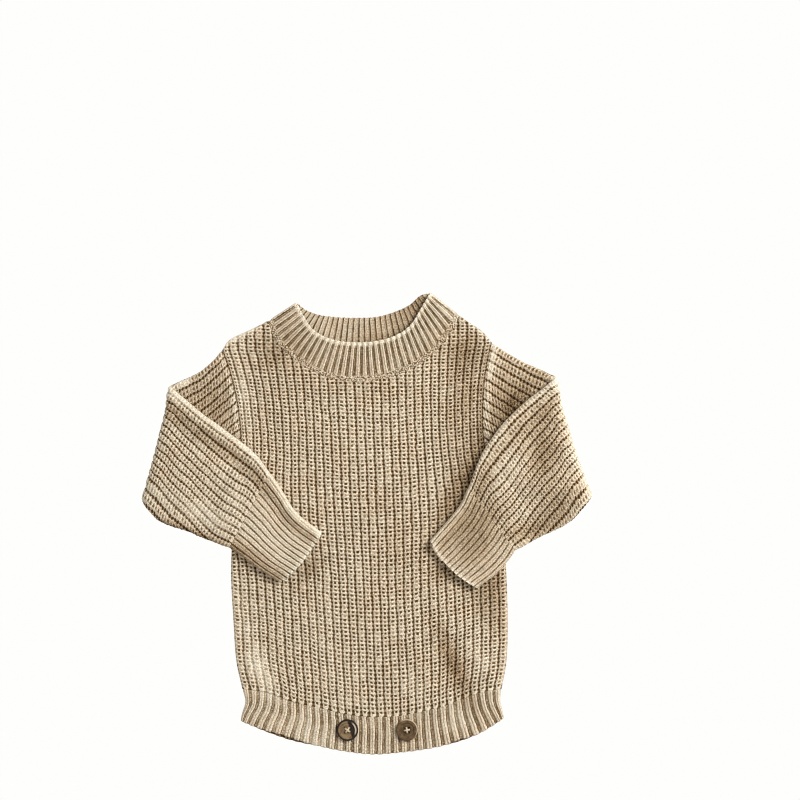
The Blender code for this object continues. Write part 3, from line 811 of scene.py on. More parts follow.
def ribbed_knit(name, rib):
    """Ribs of two strands, with painted shade in their clefts, in the recesses between them and at their
    feet, more on one side. The recesses show the backs of small stitches, and the cast-off edge is smooth."""
    shades = Shades(name, **YARN)
    across, far, r, _, tone = knit_place(shades, 0.16)
    phase = (r - across * RIB_SLANT) * math.tau
    cleft = across.remap(0.04, 0.24, 1.0, 0.0) * (rib.cleft * 1.5)
    stitch = shades.noise(shades.place(), BACKS, 1.0)
    # painted shade in the recesses, speckled by the backs of small stitches, and at the ribs' feet, darker
    # on the far side
    floor_dark = stitch.remap(0.38, 0.62, rib.recess * 0.6, rib.recess)
    dark = across.remap(rib.width - 0.08, rib.width + 0.1) * floor_dark
    wall = across.remap(rib.width - 0.05, rib.width + 0.04)
    wall = wall * across.remap(rib.width + 0.12, rib.width + 0.26, 1.0, 0.0)
    wall = wall * far.times(rib.wall * 0.5, rib.wall * 0.5)
    strands = cleft.math("MAXIMUM", phase.wave() * 0.2)
    dark = dark.math("MAXIMUM", strands).math("MAXIMUM", wall)
    # in patches the painted shade is lighter
    dark = dark * shades.noise(shades.place(), SHADE_PATCHES, 1.0).remap(0.3, 0.6, 0.78, 1.0)
    if rib.rows:
        dark = dark * r.remap(rib.rows - 1.3, rib.rows - 0.5, 1.0, 0.12)
    if rib.base:
        based = r.remap(rib.base - 0.5, rib.base + 0.6)
        dark = stitch.remap(0.42, 0.62) * 0.8 * (1.0 - based) + dark * based
    return yarn_finish(shades, dark, tone, (phase * 2.0).math("SINE") * 0.2)


WOOD = {"Roughness": 0.5, "Specular_IOR_Level": 0.25}
TAN_DARK, TAN_LIGHT, TAN_HIGHLIGHT = (0.10, 0.058, 0.026), (0.27, 0.185, 0.10), (0.50, 0.42, 0.32)
TAN_SHADE, TAN_RIM = (0.022, 0.012, 0.006), (0.016, 0.010, 0.006)
BROWN_DARK, BROWN_LIGHT, BROWN_HIGHLIGHT = (0.075, 0.042, 0.018), (0.155, 0.098, 0.048), (0.50, 0.39, 0.26)
DISH_DARK, DISH_LIGHT = (0.036, 0.019, 0.008), (0.080, 0.046, 0.021)
THREAD = (0.72, 0.60, 0.42)


def about(shades, name):
    """Places on a button's face, across and up from its middle in radii, and the distance from it."""
    x, y, _ = shades.place().split()
    radius = BUTTON_D / 2 * MM
    u, v = ((axis - middle * MM) / radius for axis, middle in ((x, BUTTON_X[name]), (y, BUTTON_Y)))
    return u, v, (u * u + v * v) ** 0.5


def left_wood():
    """A tan face inside a nearly black rim, with painted shade over its far side and a painted highlight on
    the rim's inner wall there.
    """
    shades = Shades("left_button_wood", **WOOD)
    u, v, rho = about(shades, "left_button")
    grain = shades.noise(shades.place(), 260.0, 3.0, 0.6).remap(0.3, 0.7)
    # painted shade over the far side, and a painted highlight on the inner wall of the rim on that side
    shaded = v.times(0.27, u).remap(0.14, 0.30)
    painted_highlight = rho.remap(0.66, 0.72) * rho.remap(0.82, 0.88, 1.0, 0.0) * v.times(0.25, u).remap(0.5, 0.75)
    colour = shades.mix(shaded, shades.mix(grain, TAN_DARK, TAN_LIGHT), TAN_SHADE)
    return shades.finish(shades.mix(rho.remap(0.80, 0.87), shades.mix(painted_highlight, colour, TAN_HIGHLIGHT), TAN_RIM))


def right_wood():
    """Mid brown, darker in its dish, with a painted highlight on its upper right edge."""
    shades = Shades("right_button_wood", **WOOD)
    u, v, rho = about(shades, "right_button")
    grain = shades.noise(shades.place(), 300.0, 3.0, 0.6)
    face = shades.mix(grain.remap(0.3, 0.7), BROWN_DARK, BROWN_LIGHT)
    colour = shades.mix(rho.remap(0.25, 0.62), shades.mix(grain, DISH_DARK, DISH_LIGHT), face)
    # painted highlight along the upper right edge
    edge = rho.remap(0.88, 0.96) * (u + v).remap(-0.2, 0.9)
    return shades.finish(shades.mix(edge, colour, BROWN_HIGHLIGHT))


def sewing_thread():
    shades = Shades("sewing_thread", Roughness=0.8, Specular_IOR_Level=0.2)
    ply = shades.mix(shades.noise(shades.place(), 1500.0, 1.0), (0.65, 0.62, 0.58), (1.1, 1.1, 1.1))
    return shades.finish(shades.mix(1.0, THREAD, ply, "MULTIPLY"))


# ---- the thread that holds a button

STITCH_RISE, STITCH_R, STITCH_SIDES, STITCH_STEPS = 0.8, 0.42, 8, 14
HOLE_PITCH, DISH_DEPTH = 4.2, 0.9
STITCH_REACH = HOLE_PITCH / 2 ** 0.5 * 1.06     # from a button's middle to a stitch's end, in a hole
STITCH_DIP, CROSSING, STRANDS_APART = 2.4, 0.3, 1.5


def button_stitches(name, turn, material):
    """Two crossing stitches of two strands from hole to hole, as bent rods that dip into the holes."""
    face_z = TUBE + SEWN + BUTTON_T - DISH_DEPTH
    upright = np.array((0, 0, 1.0))
    around = math.tau * np.arange(STITCH_SIDES)[:, None] / STITCH_SIDES
    points, faces = [], []
    for i in range(2):
        angle = turn + math.pi * (0.25 + 0.5 * i)
        run = np.array((math.cos(angle), math.sin(angle), 0.0))
        beside = np.array((-run[1], run[0], 0.0))
        section_points = STITCH_R * (beside * np.cos(around) + upright * np.sin(around))
        for strand in (-0.5, 0.5):
            first = len(points)
            for t in np.linspace(-1, 1, STITCH_STEPS + 1):
                height = face_z + STITCH_RISE * (1 - STITCH_DIP * t ** 4) + CROSSING * i
                middle = np.array((BUTTON_X[name], BUTTON_Y, height))
                middle += run * STITCH_REACH * t + beside * strand * STITCH_R * STRANDS_APART
                points.extend(middle + section_points)
            rings = np.arange(first, len(points)).reshape(-1, STITCH_SIDES)
            for low, high in zip(rings, rings[1:]):
                faces.extend(zip(low, np.roll(low, -1), np.roll(high, -1), high))
            for ring, order in ((rings[0], -1), (rings[-1], 1)):
                faces.extend((ring[0], *ring[a:a + 2][::order]) for a in range(1, STITCH_SIDES - 1))
    mesh = bpy.data.meshes.new(name + "_thread")
    mesh.from_pydata([tuple(point * MM) for point in points], [], faces)
    return placed(name + "_thread", mesh, material)


# ---- front and back panels

def ring_down(ring):
    return ring[..., LOWER] - ring[..., UPPER]


def ring_width(ring):
    down = ring_down(ring)
    return np.hypot(down[..., 0], down[..., 1])


def across_ring(arm, ring, c):
    """Points the share c of the way from rings' upper edges to their lower ones, seen from above, and the
    direction square to the ring that the sleeve runs in before its fold."""
    down = ring_down(ring)
    forward = np.stack((-down[..., 1], down[..., 0]), -1) * arm.hand / ring_width(ring)[..., None]
    bow = ring[..., BOW] * 4 * c * (1 - c)
    x = ring[..., UPPER_X] + down[..., 0] * c + forward[..., 0] * bow
    y = ring[..., UPPER_Y] + down[..., 1] * c + forward[..., 1] * bow
    return x, y, forward


SIDE_STEPS, ARMHOLE_STEPS, TOP_STEPS = 60, 40, 80


def side_curve(arm):
    """A body's side as x by y, from the hem up the side seam and the armhole."""
    low = along(SIDES, np.linspace(0, len(SIDES) - 1, SIDE_STEPS))
    c = np.linspace(1, 0, ARMHOLE_STEPS)[1:]
    x, y, _ = across_ring(arm, along(arm.sleeve, np.zeros(len(c))), c)
    column = 1 if arm is LEFT else 2
    return np.append(low[:, 0], y), np.append(low[:, column], x)


def hem_y(share, down=0.0):
    row = along(HEM, np.clip(share, 0, 1) * (len(HEM) - 1))
    return mix(row[..., 0], row[..., 1], down)


SIDE_CURVES = {arm.name: side_curve(arm) for arm in (LEFT, RIGHT)}
SQUEEZED, SQUEEZED_TO = 1.75, 0.95  # wales at each side that the armhole draws in, and what it leaves there
SQUEEZED_SHARE = 0.018              # of the width, which those wales take
PART_WALE = 0.16                    # of a wale at each side that the side seam takes up
UPPER_BODY = Ramp(0.3, 0.3)         # by the share of the body's height


def wale_share(k):
    """Where a wale lies along the hem, as a share of its width."""
    return k / BODY_WALES


def upper_share(k):
    """The same in the upper body, where the outer wales are drawn together along the armhole."""
    places = (0, SQUEEZED, BODY_WALES - SQUEEZED, BODY_WALES)
    return np.interp(k, places, (0, SQUEEZED_SHARE, 1 - SQUEEZED_SHARE, 1))


def body_height(y):
    """A height as a share of the body's, from the hem to the armholes' tops."""
    return (y - SIDES[0].y) / (SHOULDER_LEFT[0].y - SIDES[0].y)


def upper_blend(y):
    """0 in the lower body and 1 from the armholes up."""
    return ramp(UPPER_BODY, body_height(y))


def edge_fade(k, wales):
    """0 at the two side edges of a piece and 1 a wale inside them."""
    return ease(np.minimum(k, wales - k))


def panel_x(k, y):
    """The x of a wale at a height: straight in the middle of the body, and along its sides at the sides."""
    height = body_height(y)
    share = mix(wale_share(k), upper_share(k), upper_blend(y))
    left, right = (np.interp(y, *SIDE_CURVES[arm.name]) for arm in (LEFT, RIGHT))
    straight_left = mix(SIDES[0].left, SHOULDER_LEFT[0].x, height)
    straight_right = mix(SIDES[0].right, SHOULDER_RIGHT[-1].x, height)
    x = mix(straight_left, straight_right, share)
    x += (left - straight_left) * np.clip(1 - share / 0.5, 0, 1) ** 2
    x += (right - straight_right) * np.clip(1 - (1 - share) / 0.5, 0, 1) ** 2
    return x, left, right


def top_curve(neck):
    """The top of a panel as y by x: left shoulder, neckline, right shoulder."""
    parts = (SHOULDER_LEFT, neck, SHOULDER_RIGHT)
    lines = [along(rows, np.linspace(0, len(rows) - 1, TOP_STEPS))[:, :2] for rows in parts]
    return np.concatenate(lines).T


ROWS_TALLER = 0.06                  # how much taller the lowest rows are than the mean
SIDE_ROLL_Y, SIDE_ROLL_REACH = UNDERARM_Y - 3, 8    # below which the side edges roll down
SHOULDER_REACH, SHOULDER_ROLL = 14, 0.9
CREASE_REACH = 12                   # from a side edge to where creases have their whole height
NECK_LEVEL, NECK_REACH = -0.7, 3
NO_SEAM = 9                         # any distance past SEAM_REACH
ARMHOLE = Ramp(UNDERARM_Y, 10)
ARMHOLE_TONE, SHOULDER_TONE = Ridge(-0.22, 1.0, 1.6), Ridge(0.3, 1, 3.5)


def panel(name, neck, upper, row_samples):
    """The front or the back, whose wales end at the shoulders and the neckline."""
    k = stations(WALE_SAMPLES, BODY_WALES)
    rows = BODY_ROWS * row_samples
    t = np.arange(rows + 1)[:, None] / rows
    start = hem_y(wale_share(k)[None, :])
    risen = start + (NECK_ROW_Y - start) * (t * (1 + ROWS_TALLER * (1 - t)))
    top_x, top_y = top_curve(neck)
    y = risen
    kk, r = np.broadcast_arrays(k, t * BODY_ROWS)
    for _ in range(3):
        x, left, right = panel_x(kk, y)
        limit = np.interp(x, top_x, top_y)
        y = np.minimum(risen, limit)
    x, left, right = panel_x(kk, y)
    last = np.argmax(risen >= limit - 0.05, axis=0)

    # the side edges roll down to the seam below the underarm
    inset = np.minimum(x - left, right - x)
    drop = edge_drop(inset) * ease((SIDE_ROLL_Y - y) / SIDE_ROLL_REACH)
    # the shoulders roll down to theirs, and level out towards the collar
    outside = np.maximum(SHOULDER_LEFT[-1].x - x, x - SHOULDER_RIGHT[0].x)
    shoulder = ease(outside / SHOULDER_REACH)
    drop = np.minimum(drop + edge_drop((limit - y) * SHOULDER_ROLL) * shoulder, MOST_DROP)
    creases = strokes(FRONT_CREASES if upper else BACK_CREASES, x, y) * ease(inset / CREASE_REACH)
    z = TUBE - drop + puff(x, y) + creases if upper else drop + creases

    drawn_in = SQUEEZED_TO * np.clip(1 - np.minimum(kk, BODY_WALES - kk) / SQUEEZED, 0, 1) * upper_blend(y)
    aside = uneven(BODY_UNEVEN.aside, kk, r) * edge_fade(kk, BODY_WALES)
    knit_k = kk + aside + np.where(kk < BODY_WALES / 2, drawn_in, -drawn_in)
    knit_k = np.clip(knit_k, PART_WALE, BODY_WALES - PART_WALE)
    knit_r = r + uneven(BODY_UNEVEN.along, kk, r) * ease(r / UNEVEN_ROWS)
    tip = np.sqrt(np.clip(mix(TIP, 1, r / TIP_ROWS), 0, 1))
    tipped = np.floor(knit_k) + 0.5 + np.clip((knit_k % 1 - 0.5) / tip, -0.5, 0.4999)
    relief = chunky(tipped, knit_r) + uneven(BODY_UNEVEN.relief, kk, r)
    relief = mix(joined(knit_k), relief, ease(r / BODY_JOIN))
    relief = mix(NECK_LEVEL, relief, ease(1 - (1 - (limit - y) / NECK_REACH) * (1 - shoulder)))
    seam = np.minimum(inset, mix(NO_SEAM, limit - y, shoulder))
    relief = mix(SEAM_LEVEL, relief, ease(seam / SEAM_REACH))
    tone = uneven(BODY_UNEVEN.tone, kk, r)
    tone += ridge(ARMHOLE_TONE, inset) * ramp(ARMHOLE, y)
    # on the front, painted light and shade from its strokes, and a lighter band at the shoulders
    if upper:
        tone += strokes(FRONT_PAINTED_SHADING, x, y) + ridge(SHOULDER_TONE, limit - y) * shoulder
    else:
        relief = np.minimum(relief, 0)
    base = np.stack((x, y, z), -1)
    return shell(name, base, knit_k, knit_r, relief, tone, BODY_KNIT, last=last, side=1 if upper else -1)


# ---- sleeves and cuffs

FOLD_RING = 5                       # the ring on the fold
ELBOW = Ridge(4.5, FOLD_RING, 0.9)  # how far it is rounded off
BULGE, WAIST, WAIST_DEPTH = Ridge(3.6, -92, 14), Ramp(-80, 15), 2.2     # the left forearm's upper edge, by x
PLUMP, HOLLOW = Ridge(1.8, 0.07, 0.07), Ridge(-1.2, 0.24, 0.10)     # the forearm, by the share of its width
Slanted = namedtuple("Slanted", "fold cuff")
SLANTED = {"left": Slanted(0.12, 0.015), "right": Slanted(0.11, 0.035)}     # shares round a sleeve
SLANT_END, SLANT_FADE = 10.3, 4.3   # in rings, as the next two rows
NEAR_CUFF = Ridge(1, 10, 2)
CUFF_SLANT_END, CUFF_SLANT_FADE = 12, 1.5
SLANT_MIDDLE, SLANT_EDGE = Ridge(1, 0.35, 0.25), 0.2        # of half a sleeve's round
COURSE_STEPS = 241                  # at which a wale's length is measured
TURNING, OPENING, OVER = Ramp(10, 60), Ramp(20, 50), Ramp(90, 60)       # by the degrees that it is turned
AT_FOLD = Ridge(1, 100, 45)
HIDDEN_RELIEF = 0.6                 # of the stitches' depth, where a layer is hidden
# painted shade over the upper arm, which lies low between the body and the forearm
UPPER_ARM_PAINTED_SHADE = 0.17
# The painted highlight on a forearm's upper edge, the painted shade on the cloth beside it and on its cuff's
# lower edge, and how light the fold is.
EdgeShade = namedtuple("EdgeShade", "upper beside lower fold")
EDGE_SHADE = {"left": EdgeShade(0.34, 0.26, 0.34, 0.12), "right": EdgeShade(0.12, 0.16, 0.10, 0.34)}
CUFF_EDGE = 0.85                    # of a sleeve's edge shade, on its cuff
EDGE_AT, EDGE_REACH = 0.03, 0.045   # by the share of its width, as the next row
BESIDE, LOWER_EDGE = Ridge(1, 0.17, 0.08), Ramp(0.70, 0.26)
CAST_OFF = Ridge(0.38, 0, 2.6)      # how light a cuff's edge is
NUB = Ridge(0.30, 0, 0.08)          # how light the fold's upper corner is
ARMHOLE_LEVEL, ARMHOLE_REACH = -0.5, 3
ARMHOLE_RIDGE, ARMHOLE_LIGHT = Ridge(0.6, 4.5, 2.2), Ridge(0.26, 3.5, 3.2)


def section(s, width):
    """Round a flat tube's outer face: the share of its width, and the height with the sleeve unfolded. s
    runs from 0 to 1 from the middle of the upper edge, over the top layer first."""
    quarter, flat = ROUND * math.pi / 2, width - 2 * ROUND
    d = s * (2 * flat + 4 * quarter)
    to_edge, back = d - quarter - flat, d - 3 * quarter - flat
    turn = np.stack((
        d / ROUND,
        np.full_like(d, math.pi / 2),
        math.pi / 2 + to_edge / ROUND,
        np.full_like(d, 1.5 * math.pi),
        1.5 * math.pi + (back - flat) / ROUND,
    ))
    which = (d > quarter).astype(int) + (to_edge > 0) + (back > 0) + (back > flat)
    angle = np.take_along_axis(turn, which[None], 0)[0]
    middle = np.select(
        (which == 0, which == 1, which == 2, which == 3),
        (ROUND, ROUND + d - quarter, width - ROUND, width - ROUND - back),
        ROUND,
    )
    return (middle - ROUND * np.cos(angle)) / width, ROUND + ROUND * np.sin(angle)


def unsupported(arm, x, y):
    """How far a point lies outside both the upper arm and the body."""
    start, end = arm.sleeve[0], arm.sleeve[FOLD_RING - 1]
    run = np.array((end.lower_x - start.lower_x, end.lower_y - start.lower_y))
    run /= math.hypot(*run)
    below = ((y - start.lower_y) * run[0] - (x - start.lower_x) * run[1]) * arm.hand
    sides = np.array(SIDES)
    beside = (np.interp(y, sides[:, 0], sides[:, 1 if arm is LEFT else 2]) - x) * arm.hand
    return np.maximum(0, np.minimum(below, beside))


def tube_points(arm, rings, t, s):
    """Points on the outer face of a sleeve or cuff, at rows t of its table and shares s round it."""
    ring = along(rings, t)
    if arm is LEFT:
        moved = ridge(BULGE, ring[..., UPPER_X]) - WAIST_DEPTH * ramp(WAIST, ring[..., UPPER_X])
        ring[..., UPPER] -= ring_down(ring) * (moved / ring_width(ring))[..., None]
    if rings is arm.sleeve:
        ring[..., LOWER] -= ring_down(ring) * (ridge(ELBOW, t) / ring_width(ring))[..., None]
    c, height = section(s, ring_width(ring))
    x, y, forward = across_ring(arm, ring, c)
    turn = np.radians(np.clip(ring[..., TURN], 0, 180))
    over = (1 - np.cos(turn)) / 2
    topside = ease(1 - height / ROUND)
    height = height - CROWN * np.clip(-np.cos(turn), 0, 1) * 4 * c * (1 - c) * topside
    stands = ridge(PLUMP, c) + ridge(HOLLOW, c) + strokes(SLEEVE_CREASES[arm.name], x, y)
    height = height - over * topside * stands
    out = (FOLD - height) * np.sin(turn)
    x = x - forward[..., 0] * out
    y = y - forward[..., 1] * out
    lift = over * (puff(x, y) - SAG * ease(unsupported(arm, x, y) / SAG_REACH))
    return np.stack((x, y, FOLD - (FOLD - height) * np.cos(turn) + lift), -1)


def turned(arm, rings, t, s):
    """Shares s round a sleeve at rows t, moved as its wales slant: they run straight, while it narrows."""
    s = np.broadcast_to(s, t.shape)
    if rings is not arm.sleeve:
        return s
    slant = SLANTED[arm.name]
    tent = 2 * np.minimum(s, 1 - s)
    at_fold = np.minimum(ease(t / FOLD_RING), ease((SLANT_END - t) / SLANT_FADE))
    near_cuff = ridge(NEAR_CUFF, t) * ease((CUFF_SLANT_END - t) / CUFF_SLANT_FADE)
    near_cuff = near_cuff * ridge(SLANT_MIDDLE, tent) * ease(tent / SLANT_EDGE)
    return s + slant.fold * at_fold * tent - np.where(s > 0.5, slant.cuff * near_cuff, 0)


def tube(arm, part, wales, samples, row, row_samples, stitches, material):
    """A sleeve or a cuff. Its rows are counted along each wale, a sleeve's from its cuff and a cuff's from
    its sleeve, so a sleeve's last rows end at the armhole where they meet it."""
    name, rings, is_sleeve = f"{arm.name}_{part}_knit", getattr(arm, part), part == "sleeve"
    k = stations(samples, wales)[:-1]
    s = (k / wales)[None, :]
    steps = np.linspace(0, len(rings) - 1, COURSE_STEPS)
    if is_sleeve:
        steps = steps[::-1]
    course_t = np.broadcast_to(steps[:, None], (len(steps), len(k)))
    course = tube_points(arm, rings, course_t, turned(arm, rings, course_t, s))
    lengths = np.linalg.norm(np.diff(course, axis=0), axis=2).cumsum(0)
    lengths = np.vstack((np.zeros(len(k)), lengths))
    rows = math.ceil(lengths[-1].max() / row * row_samples)
    reach = np.arange(rows + 1) * row / row_samples
    t = np.stack([np.interp(reach, lengths[:, j], steps) for j in range(len(k))], 1)
    s = turned(arm, rings, t, s)
    base = tube_points(arm, rings, t, s)
    kk, r = np.broadcast_arrays(k, reach[:, None] / row)
    knit_k = kk + uneven(SLEEVE_UNEVEN.aside, kk, r, wales)
    knit_r = r + uneven(SLEEVE_UNEVEN.along, kk, r, wales) * ease(r / UNEVEN_ROWS)
    relief = stitches(knit_k, knit_r) + uneven(SLEEVE_UNEVEN.relief, kk, r)
    relief = mix(JOIN_LEVEL, relief, ease(r / SLEEVE_JOIN))

    ring = along(rings, t)
    turn = np.clip(ring[..., TURN], 0, 180)
    c, _ = section(s, ring_width(ring))
    first_layer = s < 0.5
    hidden = np.where(first_layer, ramp(TURNING, turn), 1 - ramp(OPENING, turn))
    relief = mix(relief, np.minimum(relief, 0) * HIDDEN_RELIEF, hidden)
    x, y = base[..., 0], base[..., 1]
    left = lengths[-1][None, :] - reach[:, None]
    edge = EDGE_SHADE[arm.name]
    share = 1 if is_sleeve else CUFF_EDGE
    tone = uneven(SLEEVE_UNEVEN.tone, kk, r, wales)
    # painted shade over the upper arm, with its strokes of painted light and shade; on the forearm, a
    # painted highlight on its upper edge, painted shade beside it and its strokes
    upper_arm = (strokes(UPPER_ARM_PAINTED_SHADING[arm.name], x, y) - UPPER_ARM_PAINTED_SHADE) * (1 - ramp(TURNING, turn))
    forearm = edge.upper * bell((c - EDGE_AT) / (EDGE_REACH * share))
    forearm -= edge.beside * share * ridge(BESIDE, c)
    forearm += strokes(FOREARM_PAINTED_SHADING[arm.name], x, y)
    # on a cuff, painted shade on its lower edge
    if not is_sleeve:
        forearm -= edge.lower * ramp(LOWER_EDGE, c)
        tone += ridge(CAST_OFF, left)
    tone += np.where(first_layer, upper_arm, forearm * ramp(OVER, turn))
    tone += (edge.fold + ridge(NUB, c)) * ridge(AT_FOLD, turn) * (turn > 1)
    if not is_sleeve:
        return shell(name, base, knit_k, knit_r, relief, tone, material, closed=True, rim=True)
    relief = mix(ARMHOLE_LEVEL, relief, ease(left / ARMHOLE_REACH))
    relief += ridge(ARMHOLE_RIDGE, left) * (1 - hidden)
    tone += ridge(ARMHOLE_LIGHT, left) * first_layer
    last = np.minimum(np.ceil(lengths[-1] / row * row_samples - 1e-6).astype(int), rows)
    return shell(name, base, knit_k, knit_r, relief, tone, material, last=last, closed=True)


# ---- the collar

CORNER_START = 3.0                  # mm along the band from its corner to where the round edge begins
BASE_LEVEL, BASE_ROWS = -0.5, Ramp(1.0, 1.6)        # of the small stitches at its foot
FOOT_TONE, RIM_TONE = Ridge(-0.10, 0, 1.8), Ridge(0.22, 1, 0.06)
LINED = Ramp(COLLAR_BACK_START, 2)  # by wale, where the inner face shows
# painted shade over the lining and more at its corner, and how deep its ribs stand
LINING_SHADE, LINING_CORNER, LINING_RELIEF = 0.12, Ridge(0.34, COLLAR_BACK_START, 9), 0.8
COLLAR_STEPS = 400                  # at which its length is measured
UNDER_RIM, UNDER_RIM_X = Ridge(0.3, 4.5, 2.2), Ramp(-40, 70)        # the painted shadow on the lining below the back's rim


def evened(rows, wales):
    """Rows of a collar's table where its ribs lie, evenly spaced along its middle, and their wales."""
    t = np.linspace(0, len(rows) - 1, COLLAR_STEPS)
    rib = along(rows, t)
    line = (rib[:, :2] + rib[:, 2:]) / 2
    lengths = np.append(0, np.hypot(*np.diff(line, axis=0).T).cumsum())
    k = stations(RIB_SAMPLES, wales)
    return np.interp(CORNER_START + (lengths[-1] - 2 * CORNER_START) * k / wales, lengths, t), k


def collar():
    rows = round(COLLAR_DEEP / RIB_ROW) * RIB_ROW_SAMPLES
    share = np.arange(rows + 1)[:, None] / rows

    def half(spokes, wales, height):
        t, k = evened(spokes, wales)
        rib = along(spokes, t)[None, :, :]
        xy = mix(rib[..., :2], rib[..., 2:], share[..., None])
        lift = COLLAR_LIFT * ease(share) + puff(xy[..., 0], xy[..., 1]) if height else 0
        return xy, np.broadcast_to(height + lift, xy.shape[:2]), k

    front, front_z, front_k = half(COLLAR_FRONT, COLLAR_FRONT_WALES, TUBE)
    back, back_z, back_k = half(COLLAR_BACK, COLLAR_BACK_WALES, 0)
    corner_k = stations(RIB_SAMPLES, COLLAR_CORNER_WALES)[1:-1]
    gone, outwards = (1 - np.cos(math.pi * corner_k)) / 2, np.sin(math.pi * corner_k)

    def corner(table_row, start, start_z, end, end_z):
        rib = along(COLLAR_FRONT, np.array([table_row]))[0]
        tip = mix(rib[:2], rib[2:], share)[:, None, :]
        middle = (start + end) / 2
        xy = mix(start[:, None, :], end[:, None, :], gone[None, :, None])
        xy = xy + (tip - middle[:, None, :]) * outwards[None, :, None]
        return xy, mix(start_z[:, None], end_z[:, None], gone[None, :])

    right, right_z = corner(len(COLLAR_FRONT) - 1, front[:, -1], front_z[:, -1], back[:, -1], back_z[:, -1])
    left, left_z = corner(0, back[:, 0], back_z[:, 0], front[:, 0], front_z[:, 0])
    xy = np.concatenate((front, right, back[:, ::-1], left), 1)
    z = np.concatenate((front_z, right_z, back_z[:, ::-1], left_z), 1)
    k = np.concatenate((
        front_k,
        COLLAR_FRONT_WALES + corner_k,
        COLLAR_BACK_START + back_k,
        COLLAR_WALES - COLLAR_CORNER_WALES + corner_k,
    ))
    kk, r = np.broadcast_arrays(k, share * COLLAR_DEEP / RIB_ROW)
    knit_k = kk + uneven(COLLAR_UNEVEN.aside, kk, r, COLLAR_WALES)
    relief = ribbed(knit_k, r, COLLAR_RIB) + uneven(COLLAR_UNEVEN.relief, kk, r)
    relief = mix(uneven(COLLAR_BASE, kk, r, COLLAR_WALES) + BASE_LEVEL, relief, ramp(BASE_ROWS, r))
    relief = np.where(kk > COLLAR_BACK_START, np.minimum(relief, 0), relief)
    tone = uneven(COLLAR_UNEVEN.tone, kk, r, COLLAR_WALES) + ridge(FOOT_TONE, r) + ridge(RIM_TONE, share)
    # painted light and shade on the front half
    tone += strokes(COLLAR_PAINTED_SHADING, xy[..., 0], xy[..., 1]) * (kk <= COLLAR_FRONT_WALES)
    # painted shade on the lining, and a little random unevenness
    shaded = -LINING_SHADE - ridge(LINING_CORNER, kk) - ridge(UNDER_RIM, r) * ramp(UNDER_RIM_X, xy[..., 0])
    shaded += uneven(LINING_TONE, kk, r, COLLAR_WALES)
    inner_relief = ribbed(knit_k + 0.5, r, COLLAR_LINING) * LINING_RELIEF
    lining = Lining(inner_relief, mix(tone, shaded, ramp(LINED, kk)), COLLAR_INSIDE)
    base = np.concatenate((xy, z[..., None]), -1)
    return shell(
        "collar_knit", base, knit_k, r, relief, tone, COLLAR_KNIT, closed=True, rim=True, lining=lining
    )


# ---- the hem bands

HemSide = namedtuple("HemSide", "pinch flare")
# Its ends are drawn in below the seam and stand out at the edge.
HEM_SIDES = {"left": HemSide(Ridge(3.0, 0.42, 0.3), 1.3), "right": HemSide(Ridge(1.6, 0.42, 0.3), 2.0)}
PEEPS = table(Ridge, (2.6, 0.17, 0.085), (1.8, 0.83, 0.04))     # where the back band shows
# painted shade on the back band where it shows below the front
PEEP_PAINTED_SHADE = Ridge(-0.5, 1, 0.15)
FAN = 0.45                          # how far the hem's ribs lean out towards its two ends


def hem_band(name, upper):
    k = stations(RIB_SAMPLES, BODY_WALES)
    rows = round(HEM_DEEP / RIB_ROW) * RIB_ROW_SAMPLES
    down = np.arange(rows + 1)[:, None] / rows
    side = 2 * wale_share(k)[None, :] - 1
    fanned = side + FAN * side ** 3 * np.abs(side) * (1 - side ** 2) * down
    share = (fanned + 1) / 2
    out_left, out_right = (end.flare * down ** 2 - ridge(end.pinch, down) for end in HEM_SIDES.values())
    left, right = SIDES[0].left - out_left, SIDES[0].right + out_right
    x = mix(left, right, share)
    y = hem_y(share, down)
    if upper:
        y = y + down * sum(ridge(peep, share) for peep in PEEPS)
    inset = np.minimum(x - left, right - x)
    drop = np.minimum(edge_drop(inset), MOST_DROP)
    base = np.stack((x, y, TUBE - drop if upper else drop), -1)
    kk, r = np.broadcast_arrays(k, down * HEM_DEEP / RIB_ROW)
    knit_k = kk + uneven(HEM_UNEVEN.aside, kk, r) * edge_fade(kk, BODY_WALES)
    knit_k = np.clip(knit_k, 2 * PART_WALE, BODY_WALES - 2 * PART_WALE)
    relief = ribbed(knit_k, r, HEM_RIB) + uneven(HEM_UNEVEN.relief, kk, r)
    relief = mix(joined(knit_k), relief, ease(r / HEM_JOIN))
    relief = mix(SEAM_LEVEL, relief, ease(inset / SEAM_REACH))
    tone = uneven(HEM_UNEVEN.tone, kk, r)
    # on the front band, painted light and shade from the front's strokes; on the back band, painted shade
    # where it shows
    if upper:
        tone += strokes(FRONT_PAINTED_SHADING, x, y)
    else:
        relief = np.minimum(relief, 0)
        tone += ridge(PEEP_PAINTED_SHADE, down)
    return shell(name, base, knit_k, r, relief, tone, HEM_KNIT, rim=True, side=1 if upper else -1)


# ---- the making

BODY_KNIT = chunky_knit("body_knit", 0.95, TIP)
SLEEVE_KNIT = chunky_knit("sleeve_knit", 0.7, SLEEVE_TIP)
COLLAR_KNIT = ribbed_knit("collar_knit", COLLAR_RIB)
COLLAR_INSIDE = ribbed_knit("collar_lining", COLLAR_LINING)
CUFF_KNIT = ribbed_knit("cuff_knit", CUFF_RIB)
HEM_KNIT = ribbed_knit("hem_knit", HEM_RIB)

